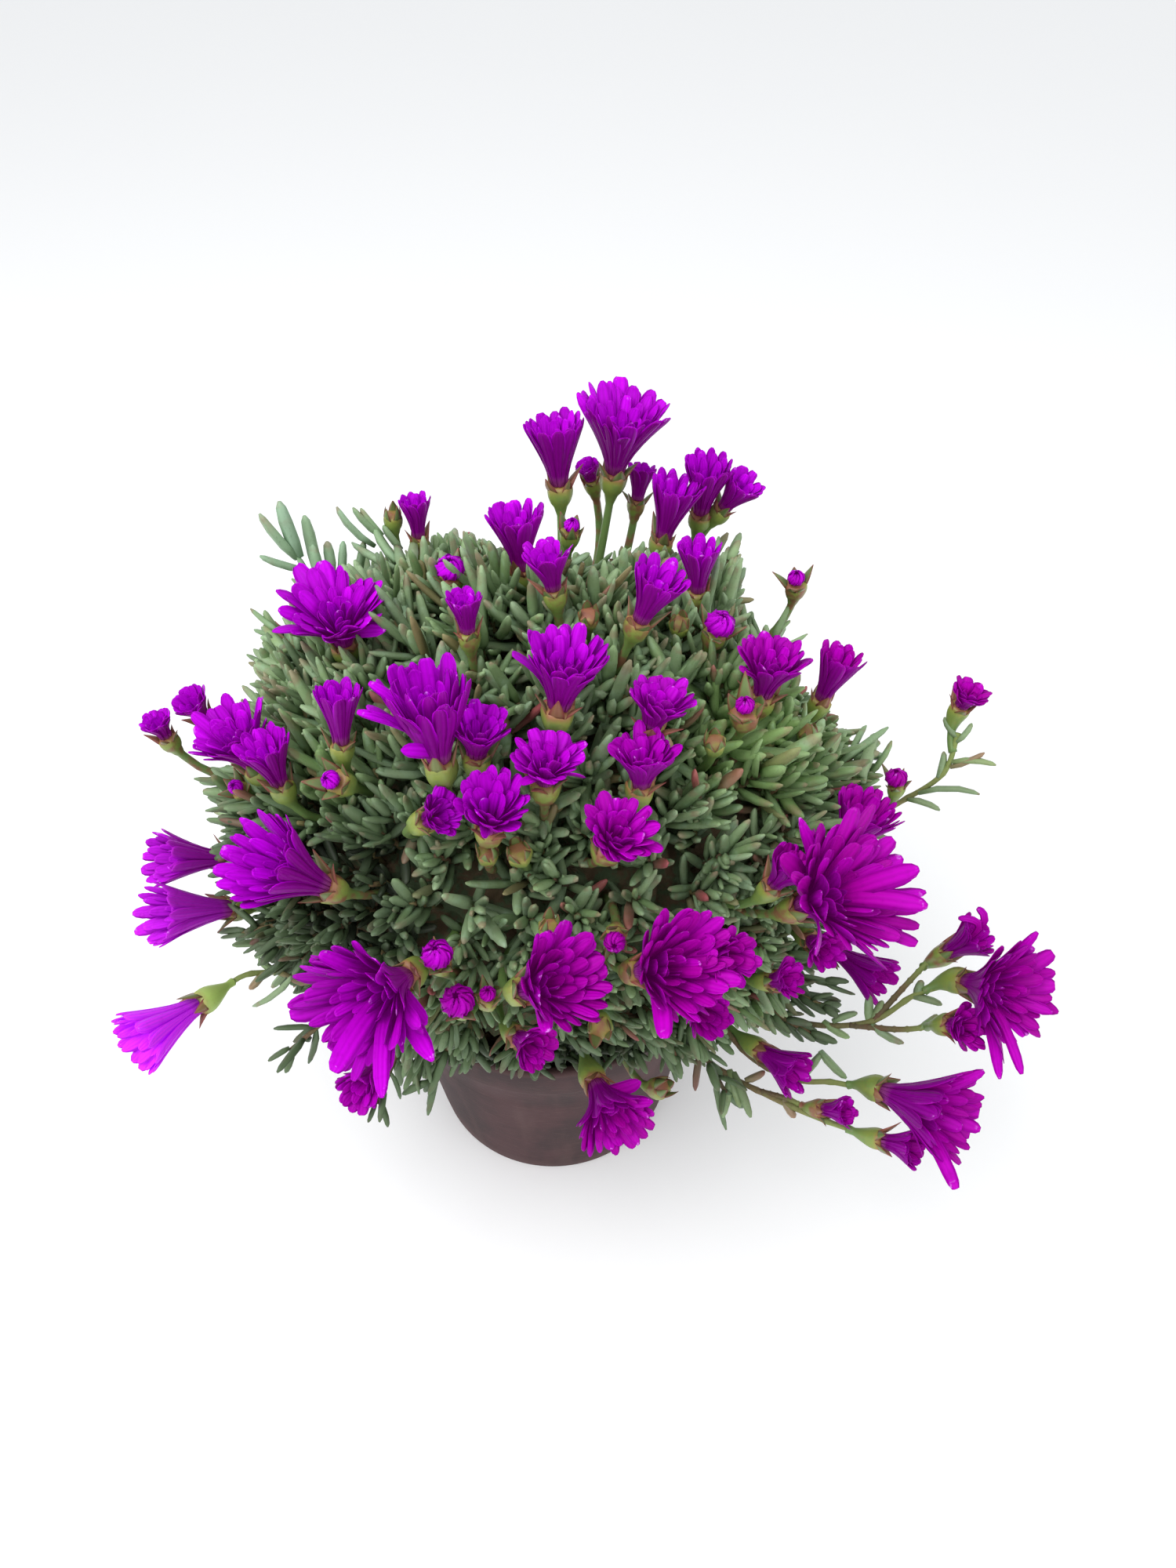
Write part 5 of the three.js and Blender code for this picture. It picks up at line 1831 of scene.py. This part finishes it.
@dataclass
class Room:
    """What leaves keep out of: each flower's petals, each calyx and each stalk."""

    top: float = 4.3
    under: float = 1
    long_share: float = 0.95
    wide_share: float = 0.86
    flare: float = 1.3
    belly_back: float = 2.5
    belly_radius: float = 5.6
    stalk_backs: tuple[float, ...] = (9, 13, 17)
    stalk_ahead: float = 3
    stalk_radius: float = 3.4

    def __post_init__(self) -> None:
        """Works out the petal cones, the calyces and the stalks."""
        both = [*FLOWERS, *BUDS]
        stands = [flower.standing() for flower in both]
        petalled = slice(len(FLOWERS))
        self.seats = np.array([stand.seat for stand in stands[petalled]])
        self.facings = np.array([stand.facing for stand in stands[petalled]])
        self.longs = np.array([flower.long for flower in FLOWERS])
        self.wides = np.array([flower.wide for flower in FLOWERS])
        bellies = [stand.seat - stand.facing * self.belly_back for stand in stands]
        stalks = [stand.seat - stand.facing * back for stand in stands for back in self.stalk_backs]
        stalks = [stalk + unit(EYE.place - stalk) * self.stalk_ahead for stalk in stalks]
        sizes = np.array([flower.size for flower in both])
        self.green = np.array([*bellies, *stalks])
        self.green_radii = np.append(sizes * self.belly_radius, np.full(len(stalks), self.stalk_radius))

    def clear(self, samples: Array) -> Array:
        """Which leaves are clear, from sampled places along each.

        Args:
            samples: Places, as leaves by samples by 3.

        Returns:
            True for each leaf that is clear.
        """
        away = samples[:, :, None] - self.seats
        along = (away * self.facings).sum(-1)
        radial = np.linalg.norm(away - along[..., None] * self.facings, axis=-1)
        share = np.clip(along / self.longs, 0, 1)
        cone = self.top + (self.wides - self.top) * share**self.flare
        beside = (along > -self.under) & (along < self.longs * self.long_share)
        inside = beside & (radial < cone * self.wide_share)
        near = np.linalg.norm(samples[:, :, None] - self.green, axis=-1) < self.green_radii
        return ~(inside.any(axis=(1, 2)) | near.any(axis=(1, 2)))


ROOM = Room()


@dataclass
class Tuft:
    """Leafy shoots of one kind, each a short stem with crossed pairs of leaves."""

    roots: Array
    headings: Array
    lengths: Array
    leaf: Array
    pale: Array
    pairs: int = 6
    bare: float = 0.2


@dataclass
class Foliage:
    """The leaves: shoots all over the mound, a fringe over the pot's rim, the
    shoots that stand out, and single leaves on the trailing stems. leaves and twigs
    gather what each clump has. The part of the pot that shows is bare between two
    places across the picture and below a third."""

    rng: Rng
    leaves: list[Sheaf]
    twigs: list[Sheaf]
    shoots: int = 960
    covered: float = 1.72
    root_share: float = 0.81
    tip_share: float = 0.94
    leaf_low: float = 9.5
    leaf_high: float = 17.5
    half_low: float = 1.4
    half_high: float = 1.85
    fringe: int = 60
    bare_from: float = 562
    bare_to: float = 850
    bare_top: float = 1362
    front_half: float = 66
    front_lowest: float = 112
    lowest: float = 92
    fringe_levels: tuple[float, float] = (112, 119)
    fringe_reach: tuple[float, float] = (62, 70)
    twig_shares: tuple[float, ...] = (-0.12, 0.4, 0.8, 1.02)
    twig_radii: tuple[float, ...] = (1.2, 1.05, 0.95, 0.8)
    blades: Blades = Blades()
    fresh_places: tuple[tuple[float, float, float, float], ...] = (
        (940, 950, 95, 0.75),
        (430, 1000, 70, 0.55),
        (1080, 960, 90, 0.35),
        (860, 1380, 60, 0.4),
        (610, 830, 50, 0.35),
        (780, 760, 60, 0.3),
    )

    def mound_tuft(self) -> Tuft:
        """The shoots that cover the mound.

        Returns:
            The shoots.
        """
        rng = self.rng
        steps = np.arange(self.shoots) + 0.5
        rise = 1 - self.covered * steps / self.shoots
        ways = spokes(steps * math.pi * (3 - math.sqrt(5)), np.sqrt(1 - rise**2), rise)
        ways = unit(ways + rng.normal(0, 0.035, ways.shape))
        roots = MOUND.centre + ways * MOUND.radii * self.root_share
        out = unit(ways / MOUND.radii)
        x, y, z = (roots * 0.045).T
        sway = np.stack([np.sin(y * 2 + z), np.sin(z * 2 + 1), np.sin(x * 2)], axis=1)
        rising = 0.2 + 0.75 * smooth(roots[:, 2:], 135, 215)
        headings = unit(out + sway * 0.25 + rng.normal(0, 0.3, out.shape) + UP * rising)
        reach = (self.tip_share - self.root_share) * np.linalg.norm(ways * MOUND.radii, axis=1)
        lengths = reach * rng.uniform(0.9, 1.25, self.shoots) + 2
        in_front = (np.abs(roots[:, 0]) < self.front_half) & (roots[:, 1] < 0)
        lowest = np.where(in_front, self.front_lowest, self.lowest)
        keep = self._clear_of_pot(roots + headings * 5) & (roots[:, 2] > lowest)
        high = smooth(roots[:, 2] + roots[:, 1] * 0.35, 120, 255)
        leaf = lerp(self.leaf_low, self.leaf_high, high) * rng.uniform(0.8, 1.2, self.shoots)
        parts = (roots, headings, lengths, leaf, np.zeros(self.shoots))
        return Tuft(*(part[keep] for part in parts), 5)

    def fringe_tuft(self) -> Tuft:
        """The shoots that hang over the pot's rim.

        Returns:
            The shoots.
        """
        rng, count = self.rng, self.fringe
        out = spokes((np.arange(count) + rng.uniform(-0.3, 0.3, count)) / count * 2 * math.pi)
        heights = rng.uniform(*self.fringe_levels, count)
        roots = out * rng.uniform(*self.fringe_reach, (count, 1)) + UP * heights[:, None]
        down = rng.uniform(-0.35, 0.25, (count, 1))
        headings = unit(out + UP * down + rng.normal(0, 0.5, out.shape))
        lengths = rng.uniform(4, 8, count)
        leaf = self.leaf_low * rng.uniform(0.75, 1.0, count)
        return Tuft(roots, headings, lengths, leaf, np.zeros(count), 4)

    def standing_tufts(self) -> list[Tuft]:
        """The shoots that stand out of the outline, one tuft each.

        Returns:
            The tufts.
        """
        tufts = []
        for shoot in SHOOTS:
            deep = MOUND.on_shell(MOUND.meet(shoot.root, 0), MOUND.core_share - 0.06)
            root, _ = MOUND.drawn_in(deep)
            run = MOUND.meet(shoot.tip, 0) - root
            length = np.linalg.norm(run) - 9
            leaf = shoot.leaf * self.rng.uniform(0.95, 1.05)
            sizes = (np.array([size]) for size in (length, leaf, shoot.pale))
            bare = max(1 - (shoot.pairs * 5.5) / length, 0.2)
            tufts.append(Tuft(root[None], unit(run)[None], *sizes, shoot.pairs, bare))
        return tufts

    def _clear_of_pot(self, places: Array, margin: float = 1.5) -> Array:
        """Which places are outside the pot."""
        radius = np.hypot(places[..., 0], places[..., 1])
        return (radius > Pot.top_radius + margin) | (places[..., 2] > Pot.height + margin)

    def _clear_of_bare(self, samples: Array, drop: Number) -> Array:
        """Which leaves leave the part of the pot bare that shows under the mound.

        Args:
            samples: Places, as leaves by samples by 3.
            drop: How far each may hang below the edge, in pixels.

        Returns:
            True for each leaf that is clear.
        """
        seen = EYE.pixels(samples)
        aside = (seen[..., 0] < self.bare_from) | (seen[..., 0] > self.bare_to)
        over = seen[..., 1] < self.bare_top + drop
        return (aside | over | (samples[..., 1] > 0)).all(1)

    def _under_skyline(self, samples: Array, aside: Number, drop: Number) -> Array:
        """Which leaves stay under the top edge that the photograph shows.

        Args:
            samples: Places, as leaves by samples by 3.
            aside: How far aside the edge is moved for each, in pixels.
            drop: How far down it is moved.

        Returns:
            True for each leaf that does.
        """
        seen = EYE.pixels(samples)
        across, down = np.array(SKYLINE, float).T
        edge = np.interp(seen[..., 0] + aside, across, down)
        return (seen[..., 1] > edge + drop).all(1)

    def add_tuft(self, tuft: Tuft) -> None:
        """Adds leaves and stems to the clumps that they stand in.

        Args:
            tuft: The shoots.
        """
        rng, count = self.rng, len(tuft.roots)
        owners = MOUND.clump_indices(tuft.roots)
        aside = unit(np.cross(tuft.headings, np.array([0.37, 0.21, 0.9])))
        above = np.cross(tuft.headings, aside)
        twist = rng.uniform(0, math.pi, count)
        self._add_twigs(tuft, owners)
        for pair in range(tuft.pairs + 1):
            place = min(pair / tuft.pairs, 1)
            along = tuft.lengths * lerp(tuft.bare, 1, place)
            turn = twist + pair * math.pi / 2 + rng.normal(0, 0.18, count)
            out = np.cos(turn)[:, None] * aside + np.sin(turn)[:, None] * above
            for hand in (1, -1):
                lean = np.radians(lerp(66, 22, place) + rng.normal(0, 17, count))[:, None]
                away = unit(out * hand + rng.normal(0, 0.2, out.shape))
                starts = unit(tuft.headings * np.cos(lean) + away * np.sin(lean))
                roots = tuft.roots + tuft.headings * along[:, None] + away * 0.7
                lengths = tuft.leaf * lerp(1, 0.75, place**2) * rng.uniform(0.55, 1.2, count)
                self._add_leaves(tuft, owners, roots, starts, lengths, place)

    def _add_twigs(self, tuft: Tuft, owners: Array) -> None:
        """Adds the stems of shoots that end neither over the pot nor the skyline.

        Args:
            tuft: The shoots.
            owners: The clump of each shoot.
        """
        runs = tuft.headings * tuft.lengths[:, None]
        ends = (tuft.roots + runs)[:, None]
        shown = self._clear_of_bare(ends, -16.0)
        if len(owners) > 1:
            shown &= self._under_skyline(ends, 0.0, 8.0)
        share = np.array(self.twig_shares)[None, :, None]
        for owner, sheaf in enumerate(self.twigs):
            mine = shown & (owners == owner)
            if mine.any():
                count = int(mine.sum())
                radii = np.ones((count, 1)) * np.array(self.twig_radii)
                lines = tuft.roots[mine][:, None] + runs[mine][:, None] * share
                sheaf.rods(lines, radii, 5, tint=self.rng.uniform(0.2, 1, (count, 1, 1)))

    def _add_leaves(
        self, tuft: Tuft, owners: Array, roots: Array, starts: Array, lengths: Array, place: float
    ) -> None:
        """Adds one leaf to each shoot, where there is room for it.

        Args:
            tuft: The shoots.
            owners: The clump of each shoot.
            roots: Where the leaves stand.
            starts: The way that they leave.
            lengths: The leaves' lengths.
            place: How far up the shoots they stand.
        """
        rng, count = self.rng, len(roots)
        curl = rng.normal(0.55, 0.32, count)
        steps = np.array([0.5, 0.78, 1.0])[:, None]
        paths = starts[:, None] * steps + tuft.headings[:, None] * curl[:, None, None] * steps**2 / 2
        samples = roots[:, None] + paths * lengths[:, None, None]
        room = self._clear_of_pot(samples, 1.2).all(1) & ROOM.clear(samples)
        room &= self._clear_of_bare(samples, rng.uniform(-12, 18, (count, 1)))
        if count > 1:
            aside, drop = rng.normal(0, 6, (count, 1)), rng.uniform(-12, 12, (count, 1))
            room &= self._under_skyline(samples, aside, drop)
        seen = EYE.pixels(roots)
        ahead = smooth(((roots - MOUND.centre) * (EYE.place - MOUND.centre)).sum(1), 0, 9000)
        fresh = rng.uniform(0, 0.22, count) + (place > 0.8) * 0.12
        for x, y, radius, much in self.fresh_places:
            near = np.hypot(seen[:, 0] - x, seen[:, 1] - y) / radius
            fresh = np.maximum(fresh, much * ahead * np.clip(1.4 - near, 0, 1) * rng.uniform(0.6, 1, count))
        outness = MOUND.outness(samples[:, 2])
        marks = {
            "tint": np.clip(rng.normal(0.5, 0.27, count), 0, 1),
            "fresh": fresh,
            "pale": tuft.pale * rng.uniform(0.7, 1, count),
            "red": (rng.uniform(0, 1, count) < 0.018) * rng.uniform(0.5, 1, count),
            "dry": (rng.uniform(0, 1, count) < 0.03) * rng.uniform(0.4, 0.9, count),
            # deep is painted shade: leaves further inside the mound and in the shaded places come out darker.
            "deep": 1 - smooth(outness, 0.8, 0.97) + self._shade(seen, outness) * ahead,
        }
        stout = smooth(tuft.leaf, self.leaf_low, self.leaf_high)
        halves = lerp(self.half_low, self.half_high, stout) * rng.uniform(0.75, 1.2, count)
        halves = halves * (1 + 0.15 * tuft.pale + 0.3 * smooth(fresh, 0.3, 0.6))
        self._share_out(owners, room, (roots, starts, tuft.headings, lengths, halves, curl), marks)

    def _share_out(
        self, owners: Array, room: Array, parts: tuple[Array, ...], marks: dict[str, Array]
    ) -> None:
        """Gives leaves to the clumps that they stand in.

        Args:
            owners: The clump of each leaf.
            room: Which leaves have room.
            parts: What the blades take, with a row for each leaf.
            marks: The leaves' values, by name.
        """
        for owner, sheaf in enumerate(self.leaves):
            mine = room & (owners == owner)
            if mine.any():
                values = {name: value[mine] for name, value in marks.items()}
                self.blades.add(sheaf, *(part[mine] for part in parts), **values)

    def _shade(self, seen: Array, outness: Array) -> Array:
        """How much painted shade darkens leaves low on the mound and at its lower left and right.

        Args:
            seen: Where the leaves are seen.
            outness: How far out the leaves are.

        Returns:
            A share from 0 to 2.2.
        """
        across, down = seen[:, 0], seen[:, 1]
        left = smooth(-across, -600, -480) * smooth(down, 980, 1090)
        right = smooth(across, 960, 1010) * smooth(down, 1180, 1250)
        low = smooth(down, 1270, 1345) * 0.85
        return np.maximum(left + right, low) * lerp(2.2, 1.45, smooth(outness, 0.86, 1.02))

    def add_lone_leaves(self) -> None:
        """Adds the single leaves, on the trailing stems and out of the outline."""
        rng, count = self.rng, len(LONE_LEAVES)
        roots = np.array([MOUND.meet(leaf.root, leaf.lift) for leaf in LONE_LEAVES])
        tips = np.array([MOUND.meet(leaf.tip, leaf.lift) for leaf in LONE_LEAVES])
        curl, pale, halves = np.array([(leaf.curl, leaf.pale, leaf.half) for leaf in LONE_LEAVES]).T
        lengths = np.linalg.norm(tips - roots, axis=1)
        upward = np.sign(curl)[:, None] * np.array([0.0, 0.5, 0.87])
        curl = np.abs(curl)
        runs = unit(tips - roots)
        ons = unit(upward - runs * (upward * runs).sum(-1, keepdims=True))
        starts = unit(runs - ons * curl[:, None] / 2)
        marks = {
            "tint": rng.uniform(0.3, 0.8, count),
            "fresh": rng.uniform(0.1, 0.45, count),
            "pale": pale * rng.uniform(0.8, 1, count),
            "red": (rng.uniform(0, 1, count) < 0.12) * (pale < 0.05) * 0.5,
            "dry": rng.uniform(0, 0.25, count) * (1 - pale),
            # deep is a little painted shade, at random.
            "deep": rng.uniform(0, 0.3, count),
        }
        parts = (roots, starts, ons, lengths, halves, curl)
        self._share_out(MOUND.clump_indices(roots), np.ones(count, bool), parts, marks)


@dataclass
class InnerGrowth:
    """The shaded old growth that fills the mound behind the leaves."""

    share: float = 0.79
    around: int = 140
    up: int = 70
    rough: float = 2.6
    lowest: float = -0.05
    never: float = 1e6

    def build(self, rng: Rng) -> bpy.types.Object:
        """Makes the piece.

        Args:
            rng: The source of its lumps.

        Returns:
            The piece.
        """
        climbs = np.linspace(-math.pi / 2 + 0.01, math.pi / 2 - 0.01, self.up)[:, None]
        ways = spokes(np.arange(self.around) / self.around * TURN, np.cos(climbs), np.sin(climbs))
        reach = self.share / np.linalg.norm(ways / MOUND.radii, axis=-1)
        reach = reach + np.clip(rng.normal(0, self.rough, reach.shape), -5, 4)
        drop = MOUND.underside + 1 - MOUND.centre[2]
        falls = ways[..., 2] < self.lowest
        to_cut = np.where(falls, drop / np.minimum(ways[..., 2], self.lowest), self.never)
        hits = MOUND.centre + ways * to_cut[..., None]
        under = np.hypot(hits[..., 0], hits[..., 1]) < MOUND.underside_radius
        reach = np.where(under, np.minimum(reach, to_cut), reach)
        sheaf = Sheaf()
        sheaf.columns(stacked(np.arange(self.up)), np.ones((1, self.up)), self.around)
        sheaf.points[0] = (MOUND.centre + ways * reach[..., None]).reshape(-1, 3)
        return placed(sheaf.build("inner_growth", ShadeFinish().made()), "foliage")


@dataclass
class WoodyStems:
    """The stems that stand in the mix and the ones that trail out of the mound."""

    rng: Rng
    radius: float = 3.4
    depth: float = 40
    ring: float = 26
    clearance: float = 0.5
    into_mound: float = 14
    levels: int = 14
    corners: int = 12
    crook: float = 0.12
    taper: float = 0.1
    trailer_radius: float = 1.05
    trailer_corners: int = 9
    joint: float = 0.22
    joint_every: int = 6

    def add_foot(self, sheaf: Sheaf, clump: Clump) -> None:
        """Adds the stem that a clump stands on.

        Args:
            sheaf: What it is added to.
            clump: The clump.
        """
        foot = clump.middle * self.ring + UP * (PottingMix.top - self.depth + self.clearance)
        levels = np.linspace(0, 1, self.levels)
        line = foot + UP * (levels * (MOUND.underside + self.into_mound - foot[2]))[:, None]
        line[:, :2] += self.rng.normal(0, self.crook, (self.levels, 2))
        radii = self.radius * (1 - self.taper * levels) * self.rng.uniform(0.94, 1.0, self.levels)
        sheaf.rods(line[None], radii[None], self.corners, tint=0.1)

    def add_trailer(self, sheaf: Sheaf, line: Array) -> None:
        """Adds a trailing stem with slightly swollen joints.

        Args:
            sheaf: What it is added to.
            line: Its points.
        """
        count = len(line)
        joints = 1 + self.joint * (np.arange(count) % self.joint_every == self.joint_every // 2)
        radii = (self.trailer_radius * np.linspace(1.1, 0.92, count) * joints)[None]
        tint = np.linspace(0.35, 1, count)[None, :, None] * self.rng.uniform(0.8, 1)
        green = smooth(np.linspace(0, 1, count), 0.45, 1)[None, :, None] * 0.8
        sheaf.rods(line[None], radii, self.trailer_corners, tint=tint, green=green)


@dataclass
class Plant:
    """The whole plant: foliage, stems, flowers and buds."""

    seed: int = 20260

    def build(self) -> None:
        """Makes every piece of the plant."""
        rng = np.random.default_rng(self.seed)
        lines = trailer_lines()
        leaves, woods, greens, folded = ([Sheaf() for _ in CLUMPS] for _ in range(4))
        foliage = Foliage(rng, leaves, woods)
        for tuft in [foliage.mound_tuft(), foliage.fringe_tuft(), *foliage.standing_tufts()]:
            foliage.add_tuft(tuft)
        foliage.add_lone_leaves()
        stems = WoodyStems(rng)
        for clump, sheaf in zip(CLUMPS, woods):
            stems.add_foot(sheaf, clump)
        for name, line in lines.items():
            stems.add_trailer(woods[trailer_clump(name, lines)], line)
        flower_greens, petals = FlowerGreens(rng, lines), Petals(rng)
        for flower in (*FLOWERS, *BUDS):
            owner = flower_greens.add(greens, flower)
            if isinstance(flower, Bud) and flower.opening > 0:
                petals.add_folded(folded[owner], flower)
        petal = PetalFinish().made()
        self._dress_clumps(leaves, woods, greens, folded, petal)
        InnerGrowth().build(rng)
        self._add_blooms(petals, petal)

    def _dress_clumps(
        self,
        leaves: list[Sheaf],
        woods: list[Sheaf],
        greens: list[Sheaf],
        folded: list[Sheaf],
        petal: bpy.types.Material,
    ) -> None:
        """Makes the pieces of each clump.

        Args:
            leaves: The leaves of each clump.
            woods: The twigs and stems of each clump.
            greens: The stalks and calyces of each clump.
            folded: The folded petals of each clump.
            petal: The petals' material.
        """
        leaf, bark, calyx = LeafFinish().made(), BarkFinish().made(), CalyxFinish().made()
        for clump, leafy, wood, green, fold in zip(CLUMPS, leaves, woods, greens, folded):
            side = clump.name.value
            placed(leafy.build(f"leaves_{side}", leaf), "foliage", clump.node)
            placed(wood.build(f"woody_stems_{side}", bark), "foliage", clump.node)
            placed(green.build(f"stalks_and_calyces_{side}", calyx), "foliage", clump.node)
            if fold.count:
                placed(fold.build(f"folded_petals_{side}", petal), "petal", clump.node)

    def _add_blooms(self, petals: Petals, petal: bpy.types.Material) -> None:
        """Makes one piece of petals for each packed bloom.

        Args:
            petals: What shapes them.
            petal: Their material.
        """
        sheaves: dict[str, Sheaf] = {}
        for flower in FLOWERS:
            petals.add(sheaves.setdefault(flower.node, Sheaf()), flower)
        for stray in STRAY_PETALS:
            petals.add_stray(sheaves[stray.node], stray)
        for node, sheaf in sheaves.items():
            placed(sheaf.build(f"petals_{node}", petal), "petal", node)


@dataclass(frozen=True)
class Lamp:
    """A square soft light: where it hangs and its side in metres, and its watts."""

    name: str
    place: Spot
    size: float
    watts: float


@dataclass
class Studio:
    """The floor, the soft light and the camera. Its sizes are in metres, but for the
    camera's lens and sensor, which are in millimetres."""

    lens: float = 26
    sensor: float = 36
    far: float = 100
    floor_size: float = 40
    sky: Colour = (0.96, 0.98, 1.0, 1.0)
    ambient: float = 0.85
    aim: Spot = (0, 0.01, 0.15)
    lamps: tuple[Lamp, ...] = (
        Lamp("key", (-0.5, -0.35, 1.15), 0.9, 9),
        Lamp("fill", (0.9, -0.5, 0.7), 1.0, 3),
    )

    def build(self) -> None:
        """Makes the studio."""
        self._add_floor()
        for lamp in self.lamps:
            self._add_light(lamp)
        scene = bpy.context.scene
        scene.world = bpy.data.worlds.new("studio_sky")
        scene.world.use_nodes = True
        sky = scene.world.node_tree.nodes["Background"]
        sky.inputs["Color"].default_value = self.sky
        sky.inputs["Strength"].default_value = self.ambient
        scene.view_settings.view_transform = "Standard"
        lens = bpy.data.cameras.new("eye")
        lens.lens = self.lens
        lens.sensor_width = self.sensor
        lens.clip_end = self.far
        camera = bpy.data.objects.new("eye", lens)
        camera.location = EYE.place * MM
        camera.rotation_euler = (EYE.pitch, 0, 0)
        scene.collection.objects.link(camera)
        scene.camera = camera

    def _add_floor(self) -> None:
        """Makes the floor."""
        half = self.floor_size / 2
        mesh = bpy.data.meshes.new("studio_floor")
        corners = [(-half, -half, 0), (half, -half, 0), (half, half, 0), (-half, half, 0)]
        mesh.from_pydata(corners, [], [(0, 1, 2, 3)])
        mesh.materials.append(FloorFinish().made())
        floor = bpy.data.objects.new("studio_floor", mesh)
        bpy.context.scene.collection.objects.link(floor)

    def _add_light(self, lamp: Lamp) -> None:
        """Adds a light that points at the plant.

        Args:
            lamp: What it is like.
        """
        source = bpy.data.lights.new(lamp.name, "AREA")
        source.size = lamp.size
        source.energy = lamp.watts
        light = bpy.data.objects.new(lamp.name, source)
        light.location = lamp.place
        x, y, z = (far - near for far, near in zip(lamp.place, self.aim))
        light.rotation_euler = (math.atan2(math.hypot(x, y), z), 0, math.atan2(y, x) + math.pi / 2)
        bpy.context.scene.collection.objects.link(light)


def main() -> None:
    """Builds the studio, the pot, the mix and the plant."""
    logging.basicConfig(level=logging.INFO, format="%(message)s")
    Studio().build()
    Pot().build()
    PottingMix().build(np.random.default_rng(5))
    Plant().build()


if __name__ == "__main__":
    main()
